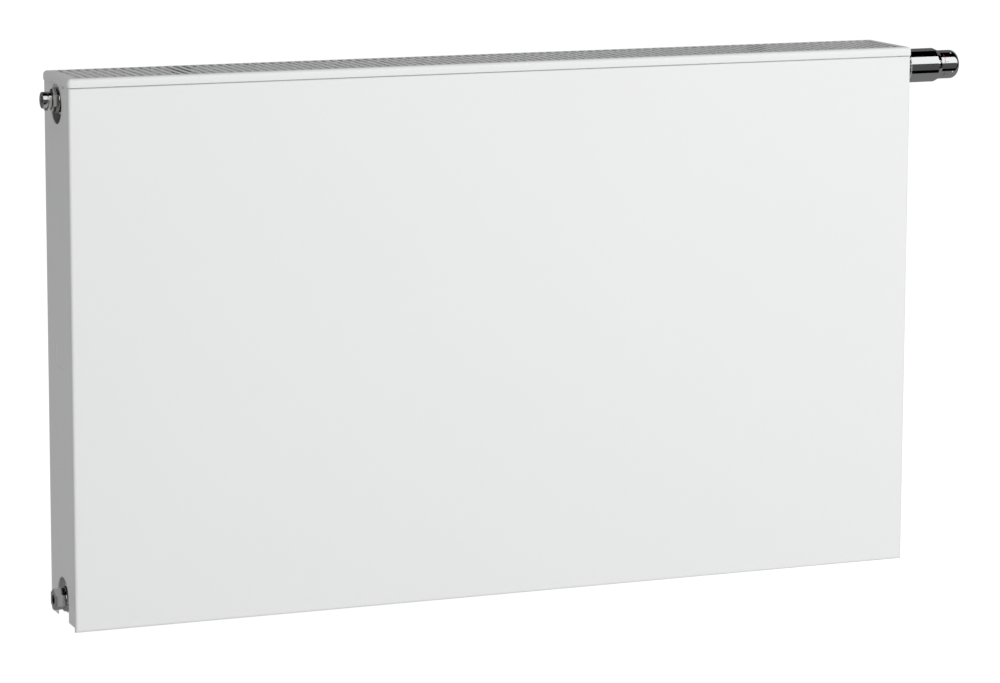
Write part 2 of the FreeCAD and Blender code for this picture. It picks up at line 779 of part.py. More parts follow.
TEE_LEFT = f"({LEFT} + dims.tee_inset)"
hub_tee("upper_left_tee", TEE_LEFT, HUB_HIGH, -1)
hub_tee("lower_left_tee", TEE_LEFT, HUB_LOW, -1)
hub_tee(
    "lower_right_tee", TEE_RIGHT, HUB_LOW, 1,
    bores=[
        rod("return_seat", "z", (TEE_RIGHT, 0, 0), "dims.nipple_bore + dims.nipple_seat", HUB_LOW),
    ],
)
hub_tee(
    "valve_housing", TEE_RIGHT, HUB_HIGH, 1,
    extra=[rod("inlet_branch", "-x", (TEE_RIGHT, 0, HUB_HIGH), "dims.inlet_radius",
               "dims.inlet_reach - dims.tee_inset")],
    thread_past="(dims.inlet_reach - dims.socket_length - dims.tee_inset - dims.inlet_web)",
    bores=[
        rod("inlet_way", "x", (f"{RIGHT} - dims.inlet_reach", 0, HUB_HIGH),
            "dims.riser_radius - dims.riser_wall", "dims.inlet_reach - dims.tee_inset"),
        rod("riser_socket", "x", (f"{RIGHT} - dims.inlet_reach", 0, HUB_HIGH),
            "dims.riser_radius + dims.thread_fit", "dims.socket_length"),
    ],
)


# ---- Lower connections: two nipples and the riser that feeds the valve ----

keep(
    cut("return_nipple", joined("return_nipple_bar", [
        rod("return_thread", "z", (TEE_RIGHT, 0, 0), "dims.nipple_radius", "dims.nipple_length"),
        rod("return_shank", "z", (TEE_RIGHT, 0, 0),
            "dims.nipple_bore + dims.nipple_seat - dims.thread_fit", f"{HUB_LOW} - dims.port_radius"),
    ]), [rod("return_way", "z", (TEE_RIGHT, 0, 0), "dims.nipple_bore", HUB_LOW)]),
    "return_nipple",
)
keep(
    cut("supply_fitting", joined("supply_fitting_bar", [
        rod("supply_thread", "z", (0, 0, 0), "dims.nipple_radius", "dims.nipple_length"),
        rod("supply_body", "z", (0, 0, "dims.nipple_length"), "dims.fitting_radius",
            "dims.fitting_top - dims.nipple_length"),
    ]), [
        rod("supply_way", "z", (0, 0, 0), "dims.riser_radius - dims.riser_wall", "dims.fitting_top"),
        rod("supply_mouth", "z", (0, 0, 0), "dims.nipple_bore", "dims.nipple_length"),
        rod("supply_socket", "z", (0, 0, "dims.fitting_top - dims.socket_length"),
            "dims.riser_radius + dims.thread_fit", "dims.socket_length"),
    ]),
    "supply_fitting",
)

riser = doc.addObject("Part::Feature", "riser_pipe")
foot = size("dims.fitting_top - dims.socket_length")
hub = size(HUB_HIGH)
sweep = size("dims.riser_bend")
pipe_end = size(f"{RIGHT} - dims.inlet_reach + dims.socket_length")
shallow = sweep * (1 - math.cos(math.radians(45)))
way = Part.Wire([
    Part.LineSegment(Vector(0, 0, foot), Vector(0, 0, hub - sweep)).toShape(),
    Part.Arc(
        Vector(0, 0, hub - sweep), Vector(shallow, 0, hub - shallow), Vector(sweep, 0, hub)
    ).toShape(),
    Part.LineSegment(Vector(sweep, 0, hub), Vector(pipe_end, 0, hub)).toShape(),
])
bore_and_skin = []
for radius in ("dims.riser_radius - dims.riser_wall", "dims.riser_radius"):
    section = Part.Wire([Part.makeCircle(size(radius), Vector(0, 0, foot), Vector(0, 0, 1))])
    bore_and_skin.append(way.makePipeShell([section], True, False))
riser.Shape = bore_and_skin[1].cut(bore_and_skin[0])
keep(riser, "riser_pipe")

strap = box(
    "strap_bar", (0, "-dims.strap_width / 2", f"{HUB_LOW} - dims.strap_thick / 2"),
    (TEE_RIGHT, "dims.strap_width / 2", f"{HUB_LOW} + dims.strap_thick / 2"),
)
keep(
    cut("connection_strap", strap, [
        rod("strap_supply_end", "z", (0, 0, 0), "dims.fitting_radius", "dims.fitting_top"),
        rod("strap_return_end", "y", (TEE_RIGHT, "-dims.strap_width", HUB_LOW), "dims.tee_radius",
            "2 * dims.strap_width"),
    ]),
    "connection_strap",
)


# ---- Plugs: a vent plug at the upper left, blanking plugs at both lower hubs ----

def outward(edge, side, distance):
    """A station beyond the radiator's end: positive away from the middle."""
    return f"{edge} + {side} * ({distance})"


def plug_blank(label, edge, side, hub_z, reach):
    """The threaded shank, sealing flange and hexagon that every plug has."""
    axis = "x" if side > 0 else "-x"
    seat = "(dims.gasket_thick - dims.tee_end)"
    return [
        rod(label + "_shank", axis,
            (outward(edge, side, "-dims.tee_end - dims.thread_length"), 0, hub_z),
            "dims.thread_radius - dims.thread_fit", "dims.thread_length + dims.gasket_thick"),
        rod(label + "_flange", axis, (outward(edge, side, seat), 0, hub_z), "dims.flange_radius",
            "dims.flange_thick"),
        hexagon(label + "_hex", axis, (outward(edge, side, f"{seat} + dims.flange_thick"), 0, hub_z),
                "dims.plug_hex_flats", f"{reach} - {seat} - dims.flange_thick"),
    ]


def gasket(label, edge, side, hub_z, outer="dims.gasket_radius"):
    axis = "x" if side > 0 else "-x"
    start = (outward(edge, side, "-dims.tee_end"), 0, hub_z)
    ring = rod(label + "_disc", axis, start, outer, "dims.gasket_thick")
    hole = rod(label + "_hole", axis, start, "dims.thread_radius", "dims.gasket_thick")
    keep(cut(label, ring, [hole]), label)


for label, edge, side in (("left_blanking_plug", LEFT, -1), ("right_blanking_plug", RIGHT, 1)):
    axis = "-x" if side > 0 else "x"
    blank = joined(label + "_blank", plug_blank(label, edge, side, HUB_LOW, "dims.plug_hex_reach"))
    key = hexagon(label + "_key", axis, (outward(edge, side, "dims.plug_hex_reach"), 0, HUB_LOW),
                  "dims.plug_key_flats", "dims.plug_key_depth")
    keep(cut(label, blank, [key]), label)
    gasket(label + "_gasket", edge, side, HUB_LOW)

vent = plug_blank("vent_plug", LEFT, -1, HUB_HIGH, "dims.vent_hex_reach")
vent.append(rod("vent_neck", "-x", (LEFT, 0, HUB_HIGH), "dims.vent_neck_radius", "dims.vent_neck_reach"))
keep(
    cut("vent_plug_body", joined("vent_plug_blank", vent), [
        rod("vent_bore", "x", (f"{LEFT} - dims.vent_neck_reach", 0, HUB_HIGH),
            "dims.bleed_radius + dims.running_fit", "dims.vent_neck_reach"),
        rod("vent_way", "x", (LEFT, 0, HUB_HIGH), "dims.spout_bore", "dims.tee_end + dims.thread_length"),
    ]),
    "vent_plug_body",
)
gasket("vent_plug_gasket", LEFT, -1, HUB_HIGH)

# The nozzle turns round the plug's neck, so that its spout can point into a cup
nozzle_start = f"{LEFT} - dims.vent_hex_reach - dims.contact_gap"
nozzle_run = "dims.nozzle_reach - dims.vent_hex_reach - dims.contact_gap"
spout_x = f"{LEFT} - dims.vent_hex_reach / 2 - dims.nozzle_reach / 2"
nozzle = joined("nozzle_blank", [
    rod("nozzle_ring", "-x", (nozzle_start, 0, HUB_HIGH), "dims.nozzle_radius", nozzle_run),
    rod("nozzle_spout", "z", (spout_x, 0, f"{HUB_HIGH} - dims.spout_reach"), "dims.spout_radius",
        "dims.spout_reach"),
])
keep(
    cut("vent_nozzle", nozzle, [
        rod("nozzle_bore", "-x", (LEFT, 0, HUB_HIGH), "dims.vent_neck_radius + dims.running_fit",
            "dims.nozzle_reach - dims.nozzle_wall"),
        rod("nozzle_eye", "-x", (LEFT, 0, HUB_HIGH), "dims.bleed_radius + dims.contact_gap",
            "dims.nozzle_reach"),
        rod("nozzle_drain", "z", (spout_x, 0, f"{HUB_HIGH} - dims.spout_reach"), "dims.spout_bore",
            "dims.spout_reach"),
    ]),
    "vent_nozzle",
)

# The bleed screw, with a square for the vent key
square = "dims.bleed_key / 2"
bleed = joined("bleed_blank", [
    rod("bleed_stem", "-x", (f"{LEFT} - dims.bleed_depth", 0, HUB_HIGH), "dims.bleed_radius",
        "dims.vent_neck_reach - dims.bleed_depth"),
    box("bleed_square",
        (f"{LEFT} - dims.nozzle_reach - dims.bleed_stand", f"-{square}", f"{HUB_HIGH} - {square}"),
        (f"{LEFT} - dims.vent_neck_reach", square, f"{HUB_HIGH} + {square}")),
])
keep(bleed, "bleed_screw")


# ---- Valve insert: the brass cartridge in the valve housing, and what moves in it ----

gasket("valve_gasket", RIGHT, 1, HUB_HIGH, "dims.union_radius")
FLANGE = "(dims.gasket_thick - dims.tee_end)"
insert = turned("insert_turning", [
    ("-dims.seat_depth - dims.seat_thick", "dims.seat_radius"),
    ("-dims.seat_depth", "dims.seat_radius"),
    ("-dims.seat_depth", "dims.chamber_radius"),
    ("-dims.ledge_depth - dims.ledge_thick", "dims.chamber_radius"),
    ("-dims.ledge_depth - dims.ledge_thick", "dims.spindle_radius + dims.running_fit"),
    ("-dims.ledge_depth", "dims.spindle_radius + dims.running_fit"),
    ("-dims.ledge_depth", "dims.spring_bore"),
    ("dims.ring_seat_reach", "dims.spring_bore"),
    ("dims.ring_seat_reach", "dims.ring_seat_radius"),
    ("dims.union_reach", "dims.ring_seat_radius"),
    ("dims.union_reach", "dims.union_radius"),
    (FLANGE, "dims.union_radius"),
    (FLANGE, "dims.thread_radius - dims.thread_fit"),
    ("-dims.seat_depth - dims.seat_thick", "dims.thread_radius - dims.thread_fit"),
])
collar_place = (f"{RIGHT} + {FLANGE}", 0, HUB_HIGH)
insert_collar = cut(
    "insert_collar",
    hexagon("insert_hex", "x", collar_place, "dims.valve_flats", "dims.flange_thick"),
    [rod("insert_hex_bore", "x", collar_place, "dims.thread_radius", "dims.flange_thick")],
)
insert_port = rod(
    "insert_port", "y", (TEE_RIGHT, "-dims.thread_radius", HUB_HIGH), "dims.insert_port",
    "2 * dims.thread_radius",
)
keep(cut("valve_insert", joined("insert_body", [insert, insert_collar]), [insert_port]), "valve_insert")

keep(turned("gland", [
    ("-dims.gland_depth", "dims.spindle_radius + dims.running_fit"),
    ("dims.ring_seat_reach - dims.gland_drop", "dims.spindle_radius + dims.running_fit"),
    ("dims.ring_seat_reach - dims.gland_drop", "dims.spring_bore - dims.thread_fit"),
    ("-dims.gland_depth", "dims.spring_bore - dims.thread_fit"),
]), "gland")

ring_start = "dims.union_reach + dims.contact_gap"
ring_blank = tube("preset_ring_turning", ring_start, f"{ring_start} + dims.ring_thick",
                  "dims.ring_radius", "dims.ring_seat_radius + dims.running_fit")
half_notch = "dims.ring_notch / 2"
notches = []
for k, side in enumerate((-1, 1)):
    notch_y = f"{side} * dims.ring_radius"
    notches.append(box(
        f"preset_notch_{k}",
        (f"{RIGHT} + {ring_start} + dims.ring_thick / 2", f"{notch_y} - {half_notch}",
         f"{HUB_HIGH} - {half_notch}"),
        (f"{RIGHT} + {ring_start} + dims.ring_thick", f"{notch_y} + {half_notch}",
         f"{HUB_HIGH} + {half_notch}"),
    ))
keep(cut("preset_ring", ring_blank, notches), "preset_ring")

DISC = "(-dims.seat_depth + dims.disc_lift)"
keep(turned("valve_spindle", [
    (f"{DISC} + dims.disc_thick", 0),
    ("dims.spindle_reach", 0),
    ("dims.spindle_reach", "dims.spindle_radius"),
    ("-dims.collar_depth + dims.collar_thick", "dims.spindle_radius"),
    ("-dims.collar_depth + dims.collar_thick", "dims.spindle_collar"),
    ("-dims.collar_depth", "dims.spindle_collar"),
    ("-dims.collar_depth", "dims.spindle_radius"),
    (f"{DISC} + dims.disc_thick + dims.collar_thick", "dims.spindle_radius"),
    (f"{DISC} + dims.disc_thick + dims.collar_thick", "dims.disc_radius"),
    (f"{DISC} + dims.disc_thick", "dims.disc_radius"),
]), "valve_spindle")
keep(turned("valve_disc", [
    (DISC, 0),
    (f"{DISC} + dims.disc_thick", 0),
    (f"{DISC} + dims.disc_thick", "dims.disc_radius"),
    (DISC, "dims.disc_radius"),
]), "valve_disc")
keep(
    spring("return_spring", "-dims.ledge_depth", "-dims.collar_depth", "dims.spring_mean",
           "dims.spring_wire", turns=6),
    "return_spring",
)


# ---- Thermostatic head: union nut, fixed cage and sleeve, turning handle, sensor ----

nut = turned("union_nut_turning", [
    ("dims.nut_start", "dims.union_radius + dims.thread_fit"),
    (NUT_ROOM, "dims.union_radius + dims.thread_fit"),
    (NUT_ROOM, "dims.neck_radius + dims.contact_gap"),
    ("dims.nut_end", "dims.neck_radius + dims.contact_gap"),
    ("dims.nut_end", NUT_RADIUS),
    ("dims.nut_start", NUT_RADIUS),
])
sketch = sketch_on(nut, "YZ_Plane", "nut_groove")
sketch.setExpression("AttachmentOffset.Base.z", "dims.nut_start")
circle(sketch, "0", f"{NUT_RADIUS} + dims.groove_radius - dims.groove_depth", "dims.groove_radius")
groove = pocket(nut, sketch, "nut_first_groove", "dims.nut_end", True)
knurl = nut.newObject("PartDesign::PolarPattern", "nut_knurl")
knurl.Originals = [groove]
knurl.Axis = (plane(nut, "X_Axis"), [""])
knurl.Angle = 360
knurl.setExpression("Occurrences", "dims.nut_grooves")
nut.Tip = knurl
keep(nut, "head_union_nut")

flange_end = f"{NUT_ROOM} - dims.cage_play"
flange_start = f"{flange_end} - dims.cage_flange"
cage = turned("head_cage", [
    (flange_start, "dims.push_radius + dims.spindle_radius"),
    (f"{PUSH_TIP} + dims.disc_lift", "dims.push_radius + dims.spindle_radius"),
    (f"{PUSH_TIP} + dims.disc_lift", "dims.push_radius + dims.running_fit"),
    ("dims.cage_floor", "dims.push_radius + dims.running_fit"),
    ("dims.cage_floor", "dims.neck_radius"),
    ("dims.cage_end", "dims.neck_radius"),
    ("dims.cage_end", "dims.cage_radius"),
    ("dims.ring_groove + dims.ring_width", "dims.cage_radius"),
    ("dims.ring_groove + dims.ring_width", "dims.cage_radius - dims.ring_grip"),
    ("dims.ring_groove", "dims.cage_radius - dims.ring_grip"),
    ("dims.ring_groove", "dims.cage_radius"),
    ("dims.cage_start", "dims.cage_radius"),
    ("dims.cage_start", "dims.neck_radius"),
    (flange_end, "dims.neck_radius"),
    (flange_end, "dims.union_radius - dims.contact_gap"),
    (flange_start, "dims.union_radius - dims.contact_gap"),
])
keep(cage, "head_cage")

sleeve_start = "dims.nut_end + dims.contact_gap"
sleeve = turned("head_sleeve", [
    (sleeve_start, "dims.neck_radius"),
    ("dims.cage_start", "dims.neck_radius"),
    ("dims.cage_start", "dims.sleeve_radius - dims.sleeve_wall"),
    ("dims.sleeve_shoulder - dims.sleeve_wall / 2", "dims.sleeve_radius - dims.sleeve_wall"),
    ("dims.sleeve_shoulder + dims.sleeve_wall / 2", "dims.handle_radius + dims.contact_gap"),
    ("dims.sleeve_end", "dims.handle_radius + dims.contact_gap"),
    ("dims.sleeve_end", "dims.handle_radius + 2 * dims.contact_gap"),
    ("dims.sleeve_shoulder", "dims.sleeve_radius"),
    (sleeve_start, "dims.sleeve_radius"),
])
keep(sleeve, "head_sleeve")

inner_end = "(dims.handle_end - dims.handle_wall)"
handle_bore = "dims.cage_radius + dims.running_fit"
groove_end = "dims.ring_groove + dims.ring_width + dims.cage_play"
knob = turned("handle_turning", [
    ("dims.handle_start", handle_bore),
    ("dims.ring_groove - dims.cage_play", handle_bore),
    ("dims.ring_groove - dims.cage_play", "dims.cage_radius + dims.ring_grip + dims.cage_play"),
    (groove_end, "dims.cage_radius + dims.ring_grip + dims.cage_play"),
    (groove_end, handle_bore),
    ("dims.cage_end + dims.handle_room", handle_bore),
    (inner_end, "dims.handle_radius - dims.handle_round"),
    (inner_end, "dims.drive_radius"),
    ("dims.drive_start", "dims.drive_radius"),
    ("dims.drive_start", 0),
    ("dims.handle_end - dims.cap_disc_thick", 0),
    ("dims.handle_end - dims.cap_disc_thick", "dims.cap_disc_radius"),
    ("dims.handle_end", "dims.cap_disc_radius"),
    ("dims.handle_end", "dims.handle_radius"),
    ("dims.handle_start", "dims.handle_radius"),
])
knob_end = size("dims.handle_end")
knob_radius = size("dims.handle_radius")
rounded(
    knob, knob.Tip, "handle_rounding",
    lambda e: abs(e.BoundBox.XMin - knob_end) < CLOSE and abs(e.BoundBox.ZMax - knob_radius) < CLOSE,
    "dims.handle_round",
)

# Two limit pins stand in the handle's rim, seen from the front above and below its middle
PIN_ANGLES = (57, -27)
seat = "(dims.handle_radius - dims.pin_seat)"
pin_holes = []
limit_pins = []
for k, angle in enumerate(PIN_ANGLES):
    turn = Rotation(Vector(1, 0, 0), 90 - angle)
    for name, group in (("pin_hole", pin_holes), ("limit_pin", limit_pins)):
        item = doc.addObject("Part::Cylinder", f"{name}_{k}")
        bind(item, Radius="dims.pin_radius", Height="dims.pin_seat + dims.pin_stand")
        place(item, (
            f"{RIGHT} + dims.pin_station",
            f"-{seat} * cos({angle})",
            f"{HUB_HIGH} + {seat} * sin({angle})",
        ), turn)
        group.append(item)
keep(cut("handle", knob, pin_holes), "handle")
pins = doc.addObject("Part::Compound", "limit_pins")
pins.Links = limit_pins
keep(pins, "limit_pins")
keep(turned("handle_cap", [
    ("dims.handle_end - dims.cap_disc_thick", 0),
    ("dims.handle_end", 0),
    ("dims.handle_end", "dims.cap_disc_radius"),
    ("dims.handle_end - dims.cap_disc_thick", "dims.cap_disc_radius"),
]), "handle_cap")

ring = tube("retaining_ring_turning", "dims.ring_groove", "dims.ring_groove + dims.ring_width",
            "dims.cage_radius + dims.ring_grip", "dims.cage_radius - dims.ring_grip + dims.running_fit")
half_gap = "dims.ring_opening / 2"
ring_gap = box(
    "retaining_ring_gap",
    (f"{RIGHT} + dims.ring_groove", f"-{half_gap}", f"{HUB_HIGH} - dims.cage_radius - {half_gap}"),
    (f"{RIGHT} + dims.ring_groove + dims.ring_width", half_gap, HUB_HIGH),
)
keep(cut("retaining_ring", ring, [ring_gap]), "retaining_ring")

keep(turned("sensor_carrier", [
    ("dims.carrier_start", "dims.neck_radius - dims.carrier_wall"),
    ("dims.carrier_floor", "dims.neck_radius - dims.carrier_wall"),
    ("dims.carrier_floor", 0),
    ("dims.carrier_floor + dims.carrier_web", 0),
    ("dims.carrier_floor + dims.carrier_web", "dims.drive_radius + dims.running_fit"),
    ("dims.carrier_end", "dims.drive_radius + dims.running_fit"),
    ("dims.carrier_end", "dims.neck_radius - dims.running_fit"),
    ("dims.carrier_start", "dims.neck_radius - dims.running_fit"),
]), "sensor_carrier")
capsule_radius = "dims.neck_radius - dims.carrier_wall - dims.running_fit"
keep(turned("sensor_capsule", [
    ("dims.carrier_start + dims.capsule_lead", 0),
    ("dims.capsule_end", 0),
    ("dims.capsule_end", capsule_radius),
    ("dims.carrier_start + dims.capsule_lead", capsule_radius),
]), "sensor_capsule")
keep(turned("push_pin", [
    (PUSH_TIP, 0),
    ("dims.carrier_start + dims.capsule_lead", 0),
    ("dims.carrier_start + dims.capsule_lead", "dims.push_radius"),
    (PUSH_TIP, "dims.push_radius"),
]), "push_pin")
keep(
    spring("overtravel_spring", "dims.capsule_end", "dims.carrier_floor", "dims.overtravel_mean",
           "dims.overtravel_wire", turns=4),
    "overtravel_spring",
)


# ---- Hanging lugs: four folded straps on the rear panel that wall hooks slide into ----

channels = channel_centres()


def between_channels(place_x):
    """The land between two channels that lies nearest to a station."""
    lands = [(a + b) / 2 for a, b in zip(channels, channels[1:])]
    return min(lands, key=lambda x: abs(x - place_x))


def lug(label, near, low):
    x = between_channels(size(near))
    face = f"({BACK} - {LAP})"
    half = "dims.lug_slot / 2"
    sheet = "dims.lug_sheet"
    rim = f"{half} + {sheet}"
    high = f"{low} + dims.lug_height"
    outer = f"{face} + dims.lug_stand"
    folds = []
    for side in (-1, 1):
        inner_x = f"{x} + {side} * ({half})"
        outer_x = f"{x} + {side} * ({rim})"
        toe_x = f"{x} + {side} * ({rim} + dims.lug_foot)"
        wall = sorted([inner_x, outer_x], key=size)
        foot_span = sorted([outer_x, toe_x], key=size)
        foot_top = f"{face} + {sheet}"
        folds.append(box(f"{label}_wall_{side + 1}", (wall[0], face, low), (wall[1], outer, high)))
        folds.append(box(f"{label}_foot_{side + 1}", (foot_span[0], face, low),
                         (foot_span[1], foot_top, high)))
    folds.append(box(f"{label}_strap", (f"{x} - ({rim})", outer, low),
                     (f"{x} + {rim}", f"{outer} + {sheet}", high)))
    folds.append(box(f"{label}_stop", (f"{x} - ({half})", face, f"{high} - {sheet}"),
                     (f"{x} + {half}", outer, high)))
    return keep(joined(label, folds), label)


upper = f"{HUB_HIGH} - dims.lug_end_drop - dims.lug_height / 2"
lower = f"{HUB_LOW} + dims.lug_end_drop - dims.lug_height / 2 + dims.lug_sheet"
lug("upper_left_lug", f"{LEFT} + dims.lug_inset", upper)
lug("upper_right_lug", f"{RIGHT} - dims.lug_inset", upper)
lug("lower_left_lug", f"{LEFT} + dims.lug_inset", lower)
lug("lower_right_lug", f"{RIGHT} - dims.lug_inset", lower)


# ---- Checks, and the files ----

doc.recompute()
for item in doc.Objects:
    if any(word in item.State for word in ("Invalid", "Error")):
        raise RuntimeError(f"{item.Name} ({item.Label}) did not rebuild: {item.State}")
os.makedirs("parts", exist_ok=True)
for item in pieces:
    shape = item.Shape
    if shape.isNull() or not shape.isValid() or not shape.Solids:
        raise RuntimeError(f"{item.Label} is not a sound solid")
    shape.exportStep(f"parts/{item.Label}.step")
print(f"{len(pieces)} pieces written")
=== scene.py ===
from math import atan2, cos, degrees, hypot, pi, radians, sin

import bmesh
import bpy
from mathutils import Matrix, Vector


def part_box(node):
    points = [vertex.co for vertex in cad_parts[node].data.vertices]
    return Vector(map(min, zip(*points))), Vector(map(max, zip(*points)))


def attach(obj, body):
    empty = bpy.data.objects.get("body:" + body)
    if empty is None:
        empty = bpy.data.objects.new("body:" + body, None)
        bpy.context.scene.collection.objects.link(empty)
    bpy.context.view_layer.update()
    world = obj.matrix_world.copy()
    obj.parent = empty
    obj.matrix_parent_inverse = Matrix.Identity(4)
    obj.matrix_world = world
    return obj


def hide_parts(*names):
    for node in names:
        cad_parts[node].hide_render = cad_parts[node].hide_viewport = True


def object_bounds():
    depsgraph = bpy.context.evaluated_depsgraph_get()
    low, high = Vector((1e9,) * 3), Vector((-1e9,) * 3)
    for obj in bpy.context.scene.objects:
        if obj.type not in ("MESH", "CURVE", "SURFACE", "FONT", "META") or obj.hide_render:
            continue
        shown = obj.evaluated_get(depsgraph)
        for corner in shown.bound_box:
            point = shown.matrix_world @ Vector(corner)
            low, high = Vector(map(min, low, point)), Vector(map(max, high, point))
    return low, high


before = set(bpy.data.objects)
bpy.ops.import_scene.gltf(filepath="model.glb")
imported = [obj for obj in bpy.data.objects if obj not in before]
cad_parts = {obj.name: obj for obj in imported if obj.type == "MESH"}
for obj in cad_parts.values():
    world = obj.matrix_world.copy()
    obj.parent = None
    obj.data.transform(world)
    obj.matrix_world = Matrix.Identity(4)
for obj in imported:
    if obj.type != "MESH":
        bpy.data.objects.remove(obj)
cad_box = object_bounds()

# ---- The studio ----
# The radiator hangs with its lower edge 150 mm above a pale floor, as it does on a wall, in a
# white surround. One broad soft box lights it from the front, right. Its bright metal mirrors
# a tunnel of strips that only mirror rays meet: soft box, black card and grey walls.
scene = bpy.context.scene
scene.view_settings.view_transform = "Standard"
MM = 0.001
WHITE = (1, 1, 1, 1)
air_light = 0.5
low, high = (Vector(corner) for corner in cad_box)
middle = (low + high) / 2


def add_node(tree, kind, **settings):
    """Adds a node. Settings are its properties, or its sockets by name."""
    node = tree.nodes.new(kind)
    for key, value in settings.items():
        if hasattr(node, key):
            setattr(node, key, value)
        else:
            node.inputs[key.replace("_", " ")].default_value = value
    return node


def add_object(name, data):
    """Puts a mesh, lamp or camera into the scene."""
    item = bpy.data.objects.new(name, data)
    scene.collection.objects.link(item)
    return item


def add_mesh(name, shape):
    """Turns a finished bmesh into an object at the origin."""
    mesh = bpy.data.meshes.new(name)
    shape.to_mesh(mesh)
    shape.free()
    return add_object(name, mesh)


def seen_rays(tree):
    """1 for the rays that show the background: to the camera, by mirrors and through glass."""
    rays = add_node(tree, "ShaderNodeLightPath")
    most = rays.outputs["Is Camera Ray"]
    for kind in ("Is Glossy Ray", "Is Transmission Ray"):
        either = add_node(tree, "ShaderNodeMath", operation="MAXIMUM")
        tree.links.new(most, either.inputs[0])
        tree.links.new(rays.outputs[kind], either.inputs[1])
        most = either.outputs[0]
    return most


world = bpy.data.worlds.new("studio_air")
scene.world = world
world.use_nodes = True
air = world.node_tree
air.nodes.clear()
lights = add_node(air, "ShaderNodeBackground", Color=WHITE, Strength=air_light)
shows = add_node(air, "ShaderNodeBackground", Color=WHITE, Strength=1.0)
pick = add_node(air, "ShaderNodeMixShader")
output = add_node(air, "ShaderNodeOutputWorld")
air.links.new(seen_rays(air), pick.inputs["Fac"])
air.links.new(lights.outputs[0], pick.inputs[1])
air.links.new(shows.outputs[0], pick.inputs[2])
air.links.new(pick.outputs[0], output.inputs["Surface"])

floor_drop = 150 * MM
floor_reach = 30
floor_grey = 0.8
floor_glow = 0.62
sheet = bmesh.new()
bmesh.ops.create_grid(sheet, x_segments=1, y_segments=1, size=floor_reach)
bmesh.ops.translate(sheet, vec=(middle.x, middle.y, low.z - floor_drop), verts=sheet.verts)
floor = add_mesh("floor", sheet)
floor_paint = bpy.data.materials.new("floor_paint")
floor_paint.use_nodes = True
tree = floor_paint.node_tree
tree.nodes.clear()
matt = add_node(tree, "ShaderNodeBsdfDiffuse", Color=(floor_grey, floor_grey, floor_grey, 1))
glow = add_node(tree, "ShaderNodeEmission", Color=WHITE)
shine = add_node(tree, "ShaderNodeMath", operation="MULTIPLY")
shine.inputs[1].default_value = floor_glow
both = add_node(tree, "ShaderNodeAddShader")
output = add_node(tree, "ShaderNodeOutputMaterial")
tree.links.new(seen_rays(tree), shine.inputs[0])
tree.links.new(shine.outputs[0], glow.inputs["Strength"])
tree.links.new(matt.outputs[0], both.inputs[0])
tree.links.new(glow.outputs[0], both.inputs[1])
tree.links.new(both.outputs[0], output.inputs["Surface"])
floor.data.materials.append(floor_paint)
floor.visible_glossy = False


def corners_of(node):
    """The low and the high corner of a CAD piece."""
    return (Vector(corner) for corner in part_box(node))


def new_verts(made):
    """The vertices among what an operator made."""
    return [v for v in made["geom"] if isinstance(v, bmesh.types.BMVert)]


# the strips of the tunnel, seen along the radiator: each ends at an angle above the horizon in
# front, counted over the top, and is this bright
tunnel_strips = (
    (-171, 0.12), (-53, 0.19), (-31, 0.0), (14, 0.08), (64, 1.05), (117, 0.0), (180, 0.12),
)
black_card = 2
tunnel_radius = 3.0
tunnel_length = 24.0
head_low, head_high = corners_of("handle")
head_middle = (head_low + head_high) / 2
tunnel = bmesh.new()
bmesh.ops.create_circle(tunnel, segments=360, radius=tunnel_radius)
ring = bmesh.ops.extrude_edge_only(tunnel, edges=tunnel.edges[:])
bmesh.ops.translate(tunnel, vec=(0, 0, tunnel_length), verts=new_verts(ring))
along = Matrix.Rotation(pi / 2, 3, "Y")
bmesh.ops.rotate(tunnel, cent=(0, 0, 0), matrix=along, verts=tunnel.verts)
bmesh.ops.translate(
    tunnel, vec=(middle.x - tunnel_length / 2, 0, head_middle.z), verts=tunnel.verts
)
for face in tunnel.faces:
    spot = face.calc_center_median()
    angle = degrees(atan2(spot.z - head_middle.z, -spot.y))
    face.material_index = next(k for k, strip in enumerate(tunnel_strips) if angle <= strip[0])
# black card closes the end that the handle points at
end_rim = [e for e in ring["geom"] if isinstance(e, bmesh.types.BMEdge)]
bmesh.ops.edgeloop_fill(tunnel, edges=end_rim, mat_nr=black_card)
tunnel = add_mesh("mirror_tunnel", tunnel)
for number, (_, brightness) in enumerate(tunnel_strips):
    strip = bpy.data.materials.new(f"tunnel_strip_{number}")
    strip.use_nodes = True
    strip.node_tree.nodes.clear()
    card = add_node(strip.node_tree, "ShaderNodeEmission", Color=WHITE, Strength=brightness)
    output = add_node(strip.node_tree, "ShaderNodeOutputMaterial")
    strip.node_tree.links.new(card.outputs[0], output.inputs["Surface"])
    strip.cycles.emission_sampling = "NONE"
    tunnel.data.materials.append(strip)
tunnel.visible_camera = False
tunnel.visible_diffuse = False
tunnel.visible_transmission = False
tunnel.visible_volume_scatter = False
tunnel.visible_shadow = False

box_width = 3.2
box_height = 2.2
box_power = 122
box_place = Vector((1.1, -4.4, 1.5))
box_target = Vector((-0.2, 0, 0.35))
lamp = bpy.data.lights.new("soft_box", "AREA")
lamp.shape = "RECTANGLE"
lamp.size = box_width
lamp.size_y = box_height
lamp.energy = box_power
soft_box = add_object("soft_box", lamp)
soft_box.location = box_place
soft_box.rotation_euler = (box_target - box_place).to_track_quat("-Z", "Y").to_euler()
soft_box.visible_glossy = False

camera_place = (-1.971, -3.898, 1.017)
camera_dip = 8.748
camera_yaw = 20.692
lens = bpy.data.cameras.new("camera")
lens.sensor_width = 36
lens.lens = 136.34
lens.shift_x = 0.08
lens.shift_y = -0.08
lens.clip_end = 100
camera = add_object("camera", lens)
camera.location = camera_place
camera.rotation_euler = (radians(90 - camera_dip), 0, -radians(camera_yaw))
scene.camera = camera

